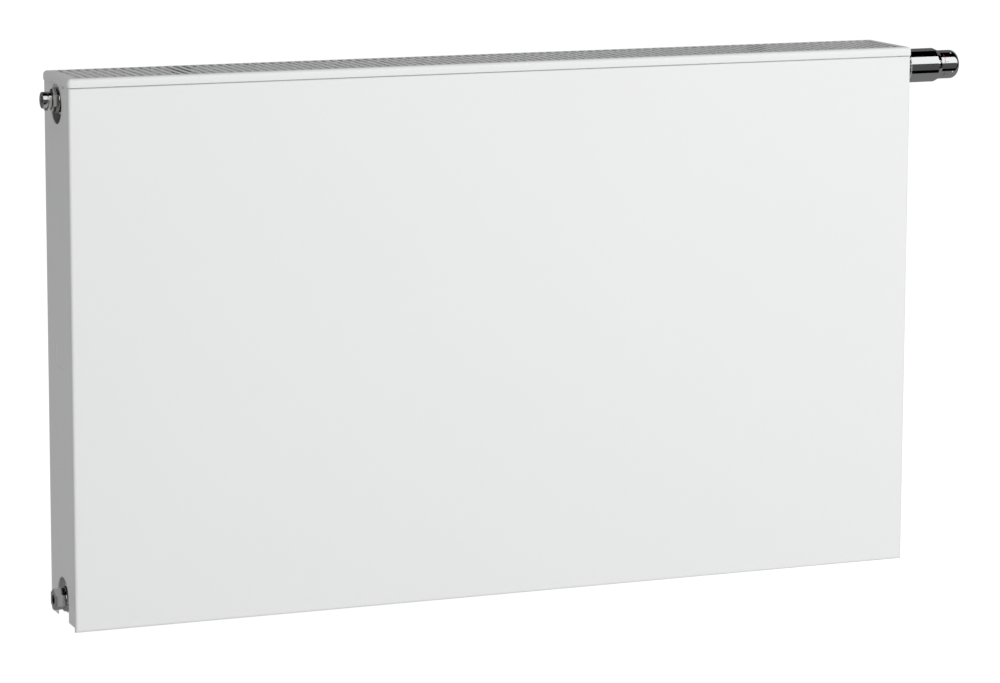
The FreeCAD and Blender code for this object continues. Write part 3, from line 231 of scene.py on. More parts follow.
# ---- Front plate ----
# A flat tray of 1 mm sheet steel, folded back all round and hung on the front water panel.
# It is powder coated with the whole radiator: a white, half gloss enamel that dries with the
# faint dimples of sprayed paint.


def new_finish(name, **constants):
    """A material with one shader, whose sockets take the constants, its tree and the shader."""
    material = bpy.data.materials.new(name)
    material.use_nodes = True
    shader = material.node_tree.nodes["Principled BSDF"]
    for socket, value in constants.items():
        shader.inputs[socket.replace("_", " ")].default_value = value
    return material, material.node_tree, shader


def grain(tree, scale, detail=2.0, stretch=(1, 1, 1)):
    """A noise in the piece's own metres: scale is its count in a metre, times the stretch."""
    place = add_node(tree, "ShaderNodeTexCoord")
    fit = add_node(tree, "ShaderNodeMapping", Scale=stretch)
    noise = add_node(tree, "ShaderNodeTexNoise", Scale=scale, Detail=detail)
    tree.links.new(place.outputs["Object"], fit.inputs["Vector"])
    tree.links.new(fit.outputs["Vector"], noise.inputs["Vector"])
    return noise.outputs["Fac"]


def spread(tree, shader, factor, low_end, high_end):
    """Lets a pattern move the roughness between two values."""
    span = add_node(tree, "ShaderNodeMapRange", From_Min=0.3, From_Max=0.7)
    span.inputs["To Min"].default_value = low_end
    span.inputs["To Max"].default_value = high_end
    tree.links.new(factor, span.inputs["Value"])
    tree.links.new(span.outputs["Result"], shader.inputs["Roughness"])


def blend_colours(tree, shader, factor, one, other):
    """Lets a pattern mix two colours."""
    mix = add_node(tree, "ShaderNodeMix", data_type="RGBA")
    mix.inputs[6].default_value = (*one, 1)
    mix.inputs[7].default_value = (*other, 1)
    tree.links.new(factor, mix.inputs["Factor"])
    tree.links.new(mix.outputs[2], shader.inputs["Base Color"])


def relief(tree, shader, height, depth, strength=1.0):
    """Presses a pattern into the surface, to a depth in mm."""
    bump = add_node(tree, "ShaderNodeBump", Strength=strength, Distance=depth * MM)
    tree.links.new(height, bump.inputs["Height"])
    tree.links.new(bump.outputs["Normal"], shader.inputs["Normal"])


enamel, tree, shader = new_finish("white_enamel", Specular_IOR_Level=0.45)
blend_colours(tree, shader, grain(tree, 3.5), (0.828, 0.832, 0.836), (0.846, 0.848, 0.848))
spread(tree, shader, grain(tree, 40, 3), 0.34, 0.42)
relief(tree, shader, grain(tree, 520, 1), 0.012)


def between(low_corner, high_corner):
    """A plain block between two corners."""
    low_corner = Vector(low_corner)
    high_corner = Vector(high_corner)
    shape = bmesh.new()
    place = Matrix.LocRotScale((low_corner + high_corner) / 2, None, high_corner - low_corner)
    bmesh.ops.create_cube(shape, size=1, matrix=place)
    return shape


def round_edges(shape, edges, radius, segments):
    """Rounds edges to a radius in mm."""
    bmesh.ops.bevel(
        shape, geom=edges, offset=radius * MM, segments=segments, affect="EDGES", profile=0.5,
        material=-1, clamp_overlap=True,
    )


def make_piece(name, shape, finish, body="radiator", stands_for=(), wall=0, smooth=35):
    """Finishes a piece: its skin turns smoothly up to an angle, and wall is its sheet's
    thickness in mm where the shape is only the outside of a sheet."""
    piece = add_mesh(name, shape)
    piece.data.materials.append(finish)
    piece.data.shade_smooth()
    piece.data.set_sharp_from_angle(angle=radians(smooth))
    if wall:
        thick = piece.modifiers.new("sheet", "SOLIDIFY")
        thick.thickness = wall * MM
        thick.offset = -1
        thick.use_even_offset = True
    flat = piece.modifiers.new("flat_faces", "WEIGHTED_NORMAL")
    flat.keep_sharp = True
    flat.weight = 100
    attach(piece, body)
    if stands_for:
        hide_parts(*stands_for)
    return piece


def cut(shape, place, facing, merge=1e-6):
    """Cuts right through a shape along a plane."""
    bmesh.ops.bisect_plane(
        shape, geom=shape.verts[:] + shape.edges[:] + shape.faces[:], dist=merge,
        plane_co=place, plane_no=facing,
    )


plate_bend = 3.0
plate_sheet = 1.0
joggle_share = 0.5
joggle_ease = 0.5
groove_top = 0.3
groove_foot = 1.7
near = 0.1 * MM
cap_low, cap_high = corners_of("top_grille")
plate_low, plate_high = corners_of("front_plate")
tray = between(plate_low, plate_high)
front_rim = [e for e in tray.edges if all(v.co.y < plate_low.y + near for v in e.verts)]
round_edges(tray, front_rim, plate_bend, 6)
bmesh.ops.delete(tray, geom=[f for f in tray.faces if f.normal.y > 0.9], context="FACES_ONLY")
# a joggle leaves a groove under the grille's lip: above its slope, the plate stands back to a
# share of its depth
joggle_foot = cap_low.z - groove_foot * MM
joggle_head = cap_low.z - groove_top * MM
for height in (joggle_foot, joggle_head):
    cut(tray, (0, 0, height), (0, 0, 1))
for v in tray.verts:
    if v.co.z > joggle_head - near:
        v.co.y = plate_high.y - (plate_high.y - v.co.y) * joggle_share
fold = [e for e in tray.edges if all(abs(v.co.z - joggle_foot) < near / 10 for v in e.verts)]
round_edges(tray, fold, joggle_ease, 2)
make_piece(
    "front_plate_tray", tray, enamel, stands_for=["front_plate"], wall=plate_sheet,
)

# ---- Top grille ----
# A tray of 0.8 mm sheet with a row of long slots for the warm air, bent down over the plate and
# the side covers. It is enamelled, clips onto the panels' top seams and lifts off for cleaning.
cap_sheet = 0.8
cap_bend = 4.5
slot_width = 5.4
slot_pitch = 10.0
slot_count = 98
slot_front = 8.0
slot_back = 6.0
cap_middle = (cap_low + cap_high) / 2
cap = between(cap_low, cap_high)
rims = [e for e in cap.edges if not all(v.co.z < cap_middle.z for v in e.verts)]
round_edges(cap, rims, cap_bend, 6)
bmesh.ops.delete(cap, geom=[f for f in cap.faces if f.normal.z < -0.9], context="FACES_ONLY")
first_cell = cap_middle.x - slot_count * slot_pitch / 2 * MM
for k in range(slot_count + 1):
    cut(cap, (first_cell + k * slot_pitch * MM, 0, 0), (1, 0, 0))
last_cell = first_cell + slot_count * slot_pitch * MM
flats = [
    f for f in cap.faces
    if f.normal.z > 0.999 and first_cell < f.calc_center_median().x < last_cell
]
bmesh.ops.delete(cap, geom=flats, context="FACES_ONLY")
# one cell of the flat: a rectangle round a slot, whose round ends are a circle's two halves
cell_half = Vector((slot_pitch / 2 * MM, (cap_high.y - cap_low.y) / 2 - cap_bend * MM))
end_steps = 12
slot_radius = slot_width / 2 * MM
cell = bmesh.new()
bmesh.ops.create_circle(cell, segments=end_steps, radius=slot_radius / cos(pi / end_steps))
bmesh.ops.rotate(
    cell, cent=(0, 0, 0), matrix=Matrix.Rotation(pi / end_steps, 3, "Z"), verts=cell.verts
)
for v in cell.verts:
    v.co.y += (
        cap_high.y - slot_back * MM - slot_radius if v.co.y > 0
        else cap_low.y + slot_front * MM + slot_radius
    )
slot_edges = cell.edges[:]
corners = [
    cell.verts.new((x, y, 0))
    for x, y in (
        (-cell_half.x, -cell_half.y), (cell_half.x, -cell_half.y),
        (cell_half.x, cell_half.y), (-cell_half.x, cell_half.y),
    )
]
cell_edges = [cell.edges.new((corners[k - 1], corners[k])) for k in range(4)]
bmesh.ops.triangle_fill(
    cell, use_beauty=True, use_dissolve=False, edges=slot_edges + cell_edges, normal=(0, 0, 1)
)
bmesh.ops.translate(cell, vec=(first_cell + cell_half.x, 0, cap_high.z), verts=cell.verts)
cell_mesh = bpy.data.meshes.new("grille_cell")
cell.to_mesh(cell_mesh)
cell.free()
for k in range(slot_count):
    before = len(cap.verts)
    cap.from_mesh(cell_mesh)
    cap.verts.ensure_lookup_table()
    bmesh.ops.translate(cap, vec=(k * slot_pitch * MM, 0, 0), verts=cap.verts[before:])
bpy.data.meshes.remove(cell_mesh)
bmesh.ops.remove_doubles(cap, verts=cap.verts, dist=0.01 * MM)
bmesh.ops.recalc_face_normals(cap, faces=cap.faces)
if max(cap.faces, key=lambda f: f.calc_center_median().z).normal.z < 0:
    bmesh.ops.reverse_faces(cap, faces=cap.faces)
make_piece(
    "slotted_cap", cap, enamel, "grille", ["top_grille"], wall=cap_sheet,
)

# ---- Grille clips ----
# Four small angles of bright spring steel, spot welded under the grille, which snap over the
# water panels' top seams.
clip_steel, tree, shader = new_finish("spring_steel", Metallic=1.0)
blend_colours(tree, shader, grain(tree, 60), (0.50, 0.50, 0.51), (0.58, 0.58, 0.59))
spread(tree, shader, grain(tree, 300, 3, (1, 8, 8)), 0.24, 0.38)
relief(tree, shader, grain(tree, 900, 1, (1, 6, 6)), 0.004)


def cover_node(name, finish):
    """Gives a CAD piece that stays its finish."""
    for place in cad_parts[name].material_slots:
        place.material = finish


def softened(node, radius=0.3, segments=2, over=30):
    """A CAD piece's own shape, its triangles merged into whole faces and its edges eased."""
    shape = bmesh.new()
    shape.from_mesh(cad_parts[node].data)
    bmesh.ops.remove_doubles(shape, verts=shape.verts, dist=0.001 * MM)
    bmesh.ops.dissolve_limit(
        shape, angle_limit=radians(0.6), verts=shape.verts, edges=shape.edges,
    )
    if radius:
        sharp = [
            e for e in shape.edges
            if len(e.link_faces) == 2 and e.calc_face_angle() > radians(over)
        ]
        round_edges(shape, sharp, radius, segments)
    return shape


make_piece(
    "seam_clips", softened("grille_clips", 0.2), clip_steel, "grille",
    ["grille_clips"],
)

# ---- Side covers ----
# Channels of 1 mm sheet that close the ends, enamelled. Each has a round hole for the upper hub,
# a notch for the lower one and a shallow pressed field where a label would go.
for side in ("left", "right"):
    make_piece(
        f"{side}_cover_sheet", softened(f"{side}_side_cover", 0.25), enamel,
        stands_for=[f"{side}_side_cover"],
    )

# ---- Cover rivets ----
# Two blind rivets of bright steel fix the covers. Their flat domes stand 0.3 mm proud, with the
# small pit that the pulled mandrel leaves.


def lathe(points, steps=96):
    """Spins a line of (station, radius) in mm about the upright axis. A radius of 0 closes it."""
    shape = bmesh.new()
    line = [shape.verts.new((radius * MM, 0, station * MM)) for station, radius in points]
    edges = [shape.edges.new(pair) for pair in zip(line, line[1:])]
    bmesh.ops.spin(
        shape, geom=line + edges, cent=(0, 0, 0), axis=(0, 0, 1), angle=2 * pi, steps=steps,
        use_merge=True,
    )
    bmesh.ops.remove_doubles(shape, verts=shape.verts, dist=0.0005 * MM)
    bmesh.ops.recalc_face_normals(shape, faces=shape.faces)
    return shape


def set_at(shape, place, toward=(0, 0, 1)):
    """Turns a shape's upright axis towards a direction and moves its foot to a place."""
    turn = Vector((0, 0, 1)).rotation_difference(Vector(toward)).to_matrix().to_4x4()
    bmesh.ops.transform(shape, matrix=Matrix.Translation(place) @ turn, verts=shape.verts)
    return shape


rivet_stand = 0.3
rivet_profile = (
    (-1.0, 0), (-1.0, 0.9), (0, 0.9), (0, 1.4), (0.12, 1.34), (0.22, 1.15), (rivet_stand, 0.85),
    (rivet_stand, 0.45), (0.12, 0.4), (0.12, 0),
)
for side, outward in (("left", -1), ("right", 1)):
    rivet_low, rivet_high = corners_of(f"{side}_cover_rivet")
    spot = (rivet_low + rivet_high) / 2
    spot.x = (rivet_low.x if outward < 0 else rivet_high.x) - outward * rivet_stand * MM
    make_piece(
        f"{side}_rivet_dome", set_at(lathe(rivet_profile, 32), spot, (outward, 0, 0)),
        clip_steel, stands_for=[f"{side}_cover_rivet"],
    )

# ---- Water panels ----
# Each panel is two pressed steel sheets, seam welded between the upright channels and round the
# edge. Two level headers join the channels at the hubs. Water fills them; both are enamelled.
channel_pitch = 33.3333
channel_count = 29
channel_crest = 9.0
channel_base = 13.0
header_crest = 12.0
header_base = 17.0
header_end = 10.0
header_slope = 3.0
header_foot = 22
panel_land = 1.25
panel_rim = 2.5
panel_end = (0, 5, 9, 10.5, 12, 13, 14.5)


def eased_step(along):
    """0 to 1 with a soft start and end."""
    along = min(max(along, 0), 1)
    return along * along * (3 - 2 * along)


def across(crest, base):
    """Offsets over a pressed ridge: its flat crest, and four steps down each of its walls."""
    side = [crest + (base - crest) * k / 4 for k in range(5)]
    return [-offset for offset in side[::-1]] + [-crest / 2, 0, crest / 2] + side


def panel_columns(half_length):
    """Stations across a panel, in mm from its middle: close together on the channels' walls."""
    first = -(channel_count - 1) / 2 * channel_pitch
    stations = [-half_length + step for step in panel_end]
    for k in range(channel_count):
        for offset in across(channel_crest, channel_base) + [channel_pitch / 2]:
            if k < channel_count - 1 or offset <= channel_base:
                stations.append(first + k * channel_pitch + offset)
    return stations + [-station for station in stations[len(panel_end) - 1::-1]]


def panel_rows(half_height, header):
    """Heights up a panel, in mm from its middle: close together on the headers' walls."""
    walls = across(header_crest, header_base) + [header_foot]
    rows = [-half_height, -half_height + panel_rim] + [-header + step for step in walls]
    return rows + [0] + [-row for row in rows[::-1]]


def pressed_height(x, z, half_length, header, half_depth):
    """How far a pressed sheet stands from the panel's middle plane."""
    from_channel = abs((x / channel_pitch + channel_count / 2) % 1 - 0.5) * channel_pitch
    channel = eased_step((channel_base - from_channel) / (channel_base - channel_crest))
    if abs(x) > channel_count / 2 * channel_pitch or abs(z) > header:
        channel = 0
    level = eased_step((header_base - abs(abs(z) - header)) / (header_base - header_crest))
    level *= eased_step((half_length - abs(x) - header_end) / header_slope)
    return panel_land + (half_depth - panel_land) * max(channel, level)


tee_low, tee_high = corners_of("lower_left_tee")
for panel in ("front", "rear"):
    panel_low, panel_high = corners_of(f"{panel}_water_panel")
    centre = (panel_low + panel_high) / 2
    half_length, half_depth, half_height = ((panel_high - panel_low) / 2 / MM)
    low_header = (centre.z - (tee_low.z + tee_high.z) / 2) / MM
    columns = panel_columns(half_length)
    rows = panel_rows(half_height, low_header)
    sheet = bmesh.new()
    bmesh.ops.create_grid(sheet, x_segments=len(columns) - 1, y_segments=len(rows) - 1, size=0.5)
    for v in sheet.verts:
        x = columns[round((v.co.x + 0.5) * (len(columns) - 1))]
        z = rows[round((v.co.y + 0.5) * (len(rows) - 1))]
        v.co = (x * MM, pressed_height(x, z, half_length, low_header, half_depth) * MM, z * MM)
    other = bmesh.ops.duplicate(sheet, geom=sheet.verts[:] + sheet.edges[:] + sheet.faces[:])
    bmesh.ops.scale(sheet, vec=(1, -1, 1), verts=new_verts(other))
    rims = [e for e in sheet.edges if e.is_boundary]
    bmesh.ops.bridge_loops(sheet, edges=rims)
    bmesh.ops.recalc_face_normals(sheet, faces=sheet.faces)
    bmesh.ops.translate(sheet, vec=centre, verts=sheet.verts)
    make_piece(
        f"{panel}_pressed_panel", sheet, enamel,
        stands_for=[f"{panel}_water_panel"], smooth=50,
    )

# ---- Fins ----
# One sheet of 0.5 mm steel for each panel, folded into square air ways and spot welded to the
# channels. The enamel on the parts inside the radiator, between the panels, is given a greyer
# tone.
greyer_inner_enamel, tree, shader = new_finish("greyer_inner_enamel", Specular_IOR_Level=0.4)
blend_colours(tree, shader, grain(tree, 9), (0.74, 0.745, 0.75), (0.80, 0.80, 0.805))
spread(tree, shader, grain(tree, 60, 3), 0.42, 0.55)
relief(tree, shader, grain(tree, 420, 1), 0.02)
for name in ("front_fins", "rear_fins"):
    cover_node(name, greyer_inner_enamel)

# ---- Hub tees and valve housing ----
# Forged steel tees, welded between the two panels at the corners. The upper right one is bored
# through as the valve's housing and has an inlet branch. They are enamelled over the scale.
forged, tree, shader = new_finish("forged_enamel", Specular_IOR_Level=0.45)
blend_colours(tree, shader, grain(tree, 30), (0.79, 0.79, 0.795), (0.84, 0.84, 0.84))
spread(tree, shader, grain(tree, 90, 3), 0.36, 0.5)
relief(tree, shader, grain(tree, 260, 2), 0.05)
for node in ("upper_left_tee", "lower_left_tee", "lower_right_tee", "valve_housing"):
    make_piece(f"{node}_forging", softened(node, 0.4), forged, stands_for=[node])

# ---- Lower connections and riser ----
# A supply fitting and a return nipple with pipe threads, held at their spacing by a steel strap,
# and a bent steel pipe that takes the supply up to the valve. All are welded and enamelled.
thread_pitch = 1.8
thread_root = 12.1
thread_crest = 13.2
thread_turns = 6
nipple_bore = 8.0


def thread_steps():
    """A line over the ridges of a foot's thread."""
    line = []
    for k in range(thread_turns):
        foot = k * thread_pitch
        line += [(foot + 0.15, thread_root), (foot + 0.8, thread_crest)]
        line += [(foot + 1.0, thread_crest), (foot + thread_pitch - 0.15, thread_root)]
    return line


def nipple(node, upper):
    """The threaded foot of a connection with its bore; upper is the line above its thread."""
    node_low, node_high = corners_of(node)
    spot = (node_low + node_high) / 2
    spot.z = node_low.z
    line = [(0, nipple_bore), (0, thread_root)] + thread_steps() + upper + [(0, nipple_bore)]
    return set_at(lathe(line), spot)


supply_upper = [
    (11, thread_root), (11, 14.4), (11.6, 15), (35.4, 15), (36, 14.4), (36, 7.55), (29, 7.55),
    (29, 6.5), (11, 6.5), (11, nipple_bore),
]
make_piece(
    "supply_nipple", nipple("supply_fitting", supply_upper), forged,
    stands_for=["supply_fitting"],
)
return_upper = [(11, 10.95), (18, 10.95), (18, nipple_bore)]
make_piece(
    "return_nipple_turned", nipple("return_nipple", return_upper), forged,
    stands_for=["return_nipple"],
)
# the riser inside the radiator, between the panels, takes the same greyer enamel as the fins
make_piece(
    "riser_tube", softened("riser_pipe", 0), greyer_inner_enamel, stands_for=["riser_pipe"],
)
make_piece(
    "connection_bar", softened("connection_strap", 0.3), forged,
    stands_for=["connection_strap"],
)

# ---- Blanking plugs ----
# Nickel plated brass plugs with a sealing flange, a chamfered hexagon and a six-sided key hole,
# screwed into both lower hubs on a flat rubber ring.
nickel, tree, shader = new_finish("nickel", Metallic=1.0)
blend_colours(tree, shader, grain(tree, 70), (0.69, 0.69, 0.68), (0.75, 0.75, 0.74))
spread(tree, shader, grain(tree, 240, 3, (6, 1, 1)), 0.08, 0.17)
relief(tree, shader, grain(tree, 700, 1, (5, 0.6, 0.6)), 0.003)
rubber, tree, shader = new_finish("rubber", Specular_IOR_Level=0.3)
blend_colours(tree, shader, grain(tree, 200), (0.016, 0.016, 0.017), (0.03, 0.03, 0.031))
spread(tree, shader, grain(tree, 500, 2), 0.6, 0.8)
relief(tree, shader, grain(tree, 1500, 2), 0.02)
plug_shank = ((-12.8, 0), (-12.8, 10.0), (-12.2, 10.45), (0, 10.45))
plug_flange = ((0, 13.7), (0.3, 14.0), (2.5, 14.0), (3.0, 13.5), (3.0, 0))
seat_depth = 4.2
hex_flats = 21
hex_foot = 2.9
hex_stand = 10
key_size = 10
key_reach = 6
corner_ease = 0.25
rim_chamfer = 0.8


def hexagon(flats, start, end, key_flats=0, key_depth=0):
    """A six-sided bar between two stations in mm, its outer rim chamfered as nuts are, with a
    six-sided key hole in its outer face if it has a size."""
    shape = bmesh.new()
    tip = flats / 2 / cos(pi / 6) * MM
    bmesh.ops.create_circle(shape, cap_ends=True, segments=6, radius=tip)
    quarter = Matrix.Rotation(pi / 2, 3, "Z")
    bmesh.ops.rotate(shape, cent=(0, 0, 0), matrix=quarter, verts=shape.verts)
    bmesh.ops.translate(shape, vec=(0, 0, start * MM), verts=shape.verts)
    grown = bmesh.ops.extrude_face_region(shape, geom=shape.faces[:])
    bmesh.ops.translate(shape, vec=(0, 0, (end - start) * MM), verts=new_verts(grown))
    bmesh.ops.recalc_face_normals(shape, faces=shape.faces)
    face = max(shape.faces, key=lambda f: f.calc_center_median().z)
    if key_flats:
        wall = (flats - key_flats) / 2 * MM
        bmesh.ops.inset_individual(shape, faces=[face], thickness=wall, use_even_offset=True)
        sunk = bmesh.ops.extrude_discrete_faces(shape, faces=[face])["faces"][0]
        bmesh.ops.translate(shape, vec=(0, 0, -key_depth * MM), verts=sunk.verts)
        bmesh.ops.recalc_face_normals(shape, faces=shape.faces)
    corners = [e for e in shape.edges if abs(e.verts[0].co.z - e.verts[1].co.z) > near]
    round_edges(shape, corners, corner_ease, 2)
    rim = [
        e for e in shape.edges
        if all(v.co.z > end * MM - near / 10 and hypot(*v.co.xy) > tip * 0.85 for v in e.verts)
    ]
    round_edges(shape, rim, rim_chamfer, 2)
    return shape


def merged(*shapes):
    """Several shapes of one turned piece as one."""
    whole = shapes[0]
    for shape in shapes[1:]:
        part = bpy.data.meshes.new("part")
        shape.to_mesh(part)
        shape.free()
        whole.from_mesh(part)
        bpy.data.meshes.remove(part)
    return whole


def plug_seat(node, station):
    """The place on a plug's axis at a station along the radiator."""
    node_low, node_high = corners_of(node)
    return Vector((station, (node_low.y + node_high.y) / 2, (node_low.z + node_high.z) / 2))


for side, outward, end in (("left", -1, cap_low.x), ("right", 1, cap_high.x)):
    node = f"{side}_blanking_plug"
    spot = plug_seat(node, end - outward * seat_depth * MM)
    body = lathe(plug_shank + plug_flange)
    key_hex = hexagon(hex_flats, hex_foot, hex_stand + seat_depth, key_size, key_reach)
    make_piece(
        f"{side}_hex_plug", set_at(merged(body, key_hex), spot, (outward, 0, 0)), nickel,
        stands_for=[node],
    )
    cover_node(f"{side}_blanking_plug_gasket", rubber)

# ---- Vent plug ----
# The upper left plug carries the air vent: a hexagon, and a neck that a nozzle turns round. The
# nozzle's spout is pointed at a cup, and the square of the bleed screw in it takes the key.
# stations on the plug count from its flange's seat, on the nozzle and screw from the cap's end
vent_stand = 5
neck_end = 13 + seat_depth
hex_end = vent_stand + seat_depth
spot = plug_seat("vent_plug_gasket", cap_low.x + seat_depth * MM)
neck = lathe((
    (hex_foot, 0), (hex_foot, 9.0), (hex_end, 9.0), (hex_end, 6.0), (neck_end - 0.4, 6.0),
    (neck_end, 5.6), (neck_end, 4.06), (seat_depth, 4.06), (seat_depth, 0),
))
body = merged(lathe(plug_shank + plug_flange), hexagon(hex_flats, hex_foot, hex_end), neck)
make_piece(
    "vent_hex_plug", set_at(body, spot, (-1, 0, 0)), nickel, stands_for=["vent_plug_body"]
)
cover_node("vent_plug_gasket", rubber)
spot.x = cap_low.x
collar = lathe((
    (5.3, 6.06), (5.3, 8.6), (5.7, 9.0), (8.6, 9.0), (8.9, 8.7), (8.9, 7.9), (9.9, 7.9),
    (9.9, 8.7), (10.2, 9.0), (14.2, 9.0), (14.8, 8.7), (15.0, 8.2), (15.0, 5.2), (14.8, 4.9),
    (14.6, 4.3), (13.4, 4.3), (13.4, 6.06), (5.3, 6.06),
))
set_at(collar, spot, (-1, 0, 0))
spout_station = 10.15
spout = lathe((
    (7.5, 0), (7.5, 2.2), (10.6, 2.2), (11.0, 1.9), (11.0, 1.1), (8.0, 1.1), (8.0, 0),
), 32)
spout_place = spot - Vector((spout_station * MM, 0, 0))
nozzle = merged(collar, set_at(spout, spout_place, (0, 0, -1)))
make_piece("turning_nozzle", nozzle, nickel, "nozzle", ["vent_nozzle"])
stem = lathe(((-1.5, 0), (-1.5, 3.6), (-1.1, 4.0), (12.7, 4.0), (13.0, 3.7), (13.0, 0)), 48)
half_key = 2.5 * MM
square = between((-half_key, -half_key, 12.9 * MM), (half_key, half_key, 16 * MM))
round_edges(square, square.edges[:], 0.3, 2)
make_piece(
    "vent_key_screw", set_at(merged(stem, square), spot, (-1, 0, 0)), nickel, "bleed",
    ["bleed_screw"],
)

# ---- Valve insert ----
# A brass cartridge screwed into the housing on a rubber ring. Its spindle carries a rubber disc
# to the seat and a spring lifts it; a numbered plastic ring, turned by hand, presets the flow.
brass, tree, shader = new_finish("brass", Metallic=1.0)
blend_colours(tree, shader, grain(tree, 90), (0.70, 0.50, 0.24), (0.78, 0.58, 0.30))
spread(tree, shader, grain(tree, 260, 3, (6, 1, 1)), 0.2, 0.34)
relief(tree, shader, grain(tree, 900, 1, (6, 0.6, 0.6)), 0.005)
plastic, tree, shader = new_finish("dark_plastic", Specular_IOR_Level=0.4)
blend_colours(tree, shader, grain(tree, 50), (0.028, 0.028, 0.030), (0.036, 0.036, 0.038))
spread(tree, shader, grain(tree, 120, 2), 0.38, 0.5)
relief(tree, shader, grain(tree, 1800, 1), 0.01)
for name in ("valve_insert", "gland", "valve_spindle"):
    cover_node(name, brass)
for name in ("valve_gasket", "valve_disc"):
    cover_node(name, rubber)
cover_node("preset_ring", plastic)
make_piece(
    "valve_return_coil", softened("return_spring", 0), clip_steel,
    stands_for=["return_spring"],
)

# ---- Union nut ----
# A chromed brass nut with 24 finger grooves, which draws the head onto the insert's collar.
chrome, tree, shader = new_finish("chrome", Metallic=1.0)
blend_colours(tree, shader, grain(tree, 25), (0.80, 0.805, 0.81), (0.84, 0.845, 0.85))
spread(tree, shader, grain(tree, 160, 4, (1, 3, 3)), 0.035, 0.065)
on_axis = Vector((cap_high.x, head_middle.y, head_middle.z))
grooves = 24
groove_depth = 0.53
groove_share = 0.3
grip_radius = 16.6
nut_shape = lathe((
    (0.5, 15.05), (14.5, 15.05), (14.5, 12.3), (16.5, 12.3), (16.5, 16.4), (16.2, 16.9),
    (15.6, 17.2), (1.4, 17.2), (0.8, 16.9), (0.5, 16.4), (0.5, 15.05),
), grooves * 8)
for v in nut_shape.verts:
    radius = hypot(v.co.x, v.co.y)
    if radius > grip_radius * MM:
        phase = (atan2(v.co.y, v.co.x) / (2 * pi) * grooves + 0.5) % 1 - 0.5
        dip = groove_depth * MM * max(0, 1 - (abs(phase) / groove_share) ** 2)
        v.co.xy *= 1 - dip / radius
make_piece(
    "grooved_nut", set_at(nut_shape, on_axis, (1, 0, 0)), chrome,
    stands_for=["head_union_nut"],
)

# ---- Cage and retaining ring ----
# A moulded cage clamped by the nut carries the whole head. A sprung steel ring in its groove
# holds the handle on while it turns. Both are out of sight under the sleeve.
cover_node("head_cage", plastic)
cover_node("retaining_ring", clip_steel)

# ---- Sleeve ----
# A drawn brass tube, polished and chromed, pressed over the cage. It ends in a short cone.
sleeve_line = (
    (16.8, 12.0), (19.0, 12.0), (19.0, 17.6), (51.55, 17.6), (53.45, 16.8), (58.0, 16.8),
    (58.0, 17.0), (57.8, 17.18), (52.9, 19.35), (52.4, 19.5), (17.2, 19.5), (16.8, 19.1),
    (16.8, 12.0),
)
make_piece(
    "chromed_sleeve", set_at(lathe(sleeve_line, 128), on_axis, (1, 0, 0)), chrome,
    stands_for=["head_sleeve"],
)

# ---- Handle ----
# A chromed hand grip with a domed end, which turns 270 degrees. It is numbered 0 to 5 in black
# beside the sleeve's index mark, with a red line for the night setting, and two bright pins in
# its grip limit how far it turns.
handle_radius = 16.5
handle_end = 83.0
dome = 8.0
dome_steps = 10
end_pocket = [
    (81.8, 0), (81.8, 6.0), (82.7, 6.0), (handle_end, 6.3), (handle_end, handle_radius - dome),
]
dome_line = [
    (
        handle_end - dome + dome * sin(pi / 2 * (dome_steps - k) / dome_steps),
        handle_radius - dome + dome * cos(pi / 2 * (dome_steps - k) / dome_steps),
    )
    for k in range(1, dome_steps + 1)
]
inner_line = [
    (26.3, handle_radius), (26.0, 16.2), (26.0, 15.06), (39.9, 15.06), (39.9, 15.8),
    (41.6, 15.8), (41.6, 15.06), (73.0, 15.06), (80.0, 8.5), (80.0, 6.0), (63.0, 6.0), (63.0, 0),
]
handle_line = end_pocket + dome_line + inner_line
make_piece(
    "chromed_handle", set_at(lathe(handle_line, 128), on_axis, (1, 0, 0)), chrome,
    "handle", ["handle"],
)
cap_line = ((81.8, 0), (81.8, 5.85), (82.75, 5.85), (handle_end, 5.6), (handle_end, 0))
make_piece(
    "handle_end_cap", set_at(lathe(cap_line, 64), on_axis, (1, 0, 0)), chrome,
    "handle", ["handle_cap"],
)
pin_station = 72.5
pin_angles = (57, -27)
pin_line = ((-0.8, 0), (-0.8, 0.8), (0.1, 0.8), (0.25, 0.7), (0.36, 0.45), (0.4, 0))
pins = bmesh.new()
for angle in pin_angles:
    away = Vector((0, -cos(radians(angle)), sin(radians(angle))))
    foot = on_axis + Vector((pin_station * MM, 0, 0)) + away * handle_radius * MM
    pins = merged(pins, set_at(lathe(pin_line, 24), foot, away))
satin, tree, shader = new_finish("satin_plating", Metallic=0.3)
blend_colours(tree, shader, grain(tree, 300), (0.82, 0.82, 0.82), (0.90, 0.90, 0.90))
spread(tree, shader, grain(tree, 900, 2), 0.35, 0.5)
make_piece("bright_pins", pins, satin, "handle", ["limit_pins"])

black_ink, tree, shader = new_finish("black_ink", Specular_IOR_Level=0.4)
blend_colours(tree, shader, grain(tree, 300), (0.012, 0.012, 0.013), (0.02, 0.02, 0.021))
spread(tree, shader, grain(tree, 900, 2), 0.4, 0.6)
red_ink, tree, shader = new_finish("red_ink", Specular_IOR_Level=0.4)
blend_colours(tree, shader, grain(tree, 300), (0.30, 0.02, 0.03), (0.38, 0.03, 0.04))
spread(tree, shader, grain(tree, 900, 2), 0.4, 0.6)
ink_stand = 0.04
bend_step = 0.4


def wrapped(shape, station, angle, slope=0, skin=handle_radius):
    """Lays a flat mark, drawn in mm with X along the handle, round it at a place. It is first cut
    into strips that can bend. skin is the radius there, which falls by the slope outwards."""
    reach = max(abs(v.co.y) for v in shape.verts)
    for k in range(int(2 * reach / bend_step) + 1):
        cut(shape, (0, k * bend_step - reach, 0), (0, 1, 0), 1e-5)
    for v in shape.verts:
        turn = radians(angle) + v.co.y / skin
        out = (skin - slope * v.co.x + ink_stand) * MM
        along = on_axis.x + (station + v.co.x) * MM
        v.co = (along, on_axis.y - cos(turn) * out, on_axis.z + sin(turn) * out)
    return shape


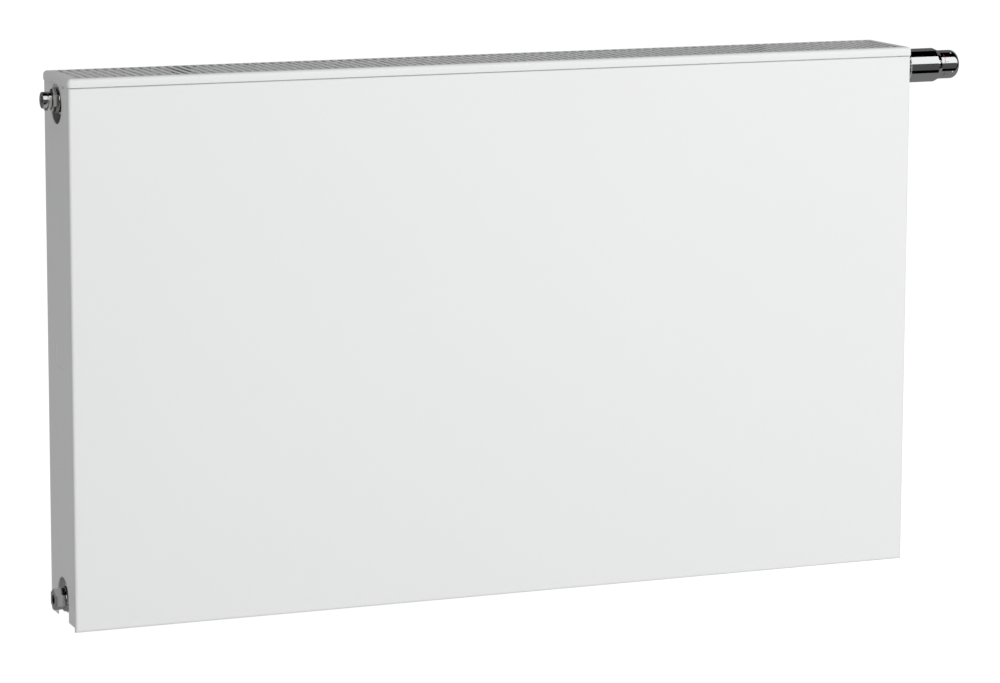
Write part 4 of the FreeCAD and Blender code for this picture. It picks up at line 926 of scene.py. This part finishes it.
def bar_mark(length, width, slant=0):
    """A printed line, in mm: its length lies along the handle, its width round it."""
    shape = bmesh.new()
    bmesh.ops.create_grid(shape, x_segments=1, y_segments=1, size=0.5)
    bmesh.ops.scale(shape, vec=(length, width, 1), verts=shape.verts)
    for v in shape.verts:
        v.co.x += v.co.y * slant
    return shape


def figure(text, height):
    """A printed figure, in mm."""
    curve = bpy.data.curves.new("figure", "FONT")
    curve.body = text
    curve.size = height
    curve.align_x = "CENTER"
    curve.align_y = "CENTER"
    words = add_object("figure", curve)
    flat = bpy.data.meshes.new_from_object(words)
    bpy.data.objects.remove(words)
    bpy.data.curves.remove(curve)
    shape = bmesh.new()
    shape.from_mesh(flat)
    bpy.data.meshes.remove(flat)
    return shape


figure_count = 6
figure_height = 4.6
figure_station = 62.2
tick_station = 65.8
scale_step = 54
index_angle = 16.5
index_figure = 3
marks = bmesh.new()
for k in range(figure_count):
    angle = index_angle + scale_step * (k - index_figure)
    marks = merged(marks, wrapped(figure(str(k), figure_height), figure_station, angle))
    marks = merged(marks, wrapped(bar_mark(1.6, 0.5), tick_station, angle))
make_piece("dial_figures", marks, black_ink, "handle")
night_station = 62.5
night_angle = 38.5
night_mark = wrapped(bar_mark(0.6, 6.8, -0.12), night_station, night_angle)
make_piece("night_line", night_mark, red_ink, "handle")
cone_slope = (19.35 - 17.18) / (57.8 - 52.9)
cone_station = 55.6
cone_radius = 18.17
index_bar = wrapped(bar_mark(2.6, 1.0), cone_station, index_angle, cone_slope, cone_radius)
make_piece("index_mark", index_bar, black_ink)

# ---- Sensor ----
# Inside the cage a moulded carrier holds a wax filled brass capsule. It grows with the room's
# warmth and pushes a pin against the spindle; a stiff spring takes up what it can't.
cover_node("sensor_carrier", plastic)
for name in ("sensor_capsule", "push_pin"):
    cover_node(name, brass)
make_piece(
    "overtravel_coil", softened("overtravel_spring", 0), clip_steel, "sensor",
    ["overtravel_spring"],
)

# ---- Hanging lugs ----
# Four straps of 2 mm steel, folded into pockets and spot welded on the rear panel, enamelled.
# The wall hooks slide up into them.
for node in ("upper_left_lug", "upper_right_lug", "lower_left_lug", "lower_right_lug"):
    make_piece(f"{node}_strap", softened(node, 0.5, 3), enamel, stands_for=[node])
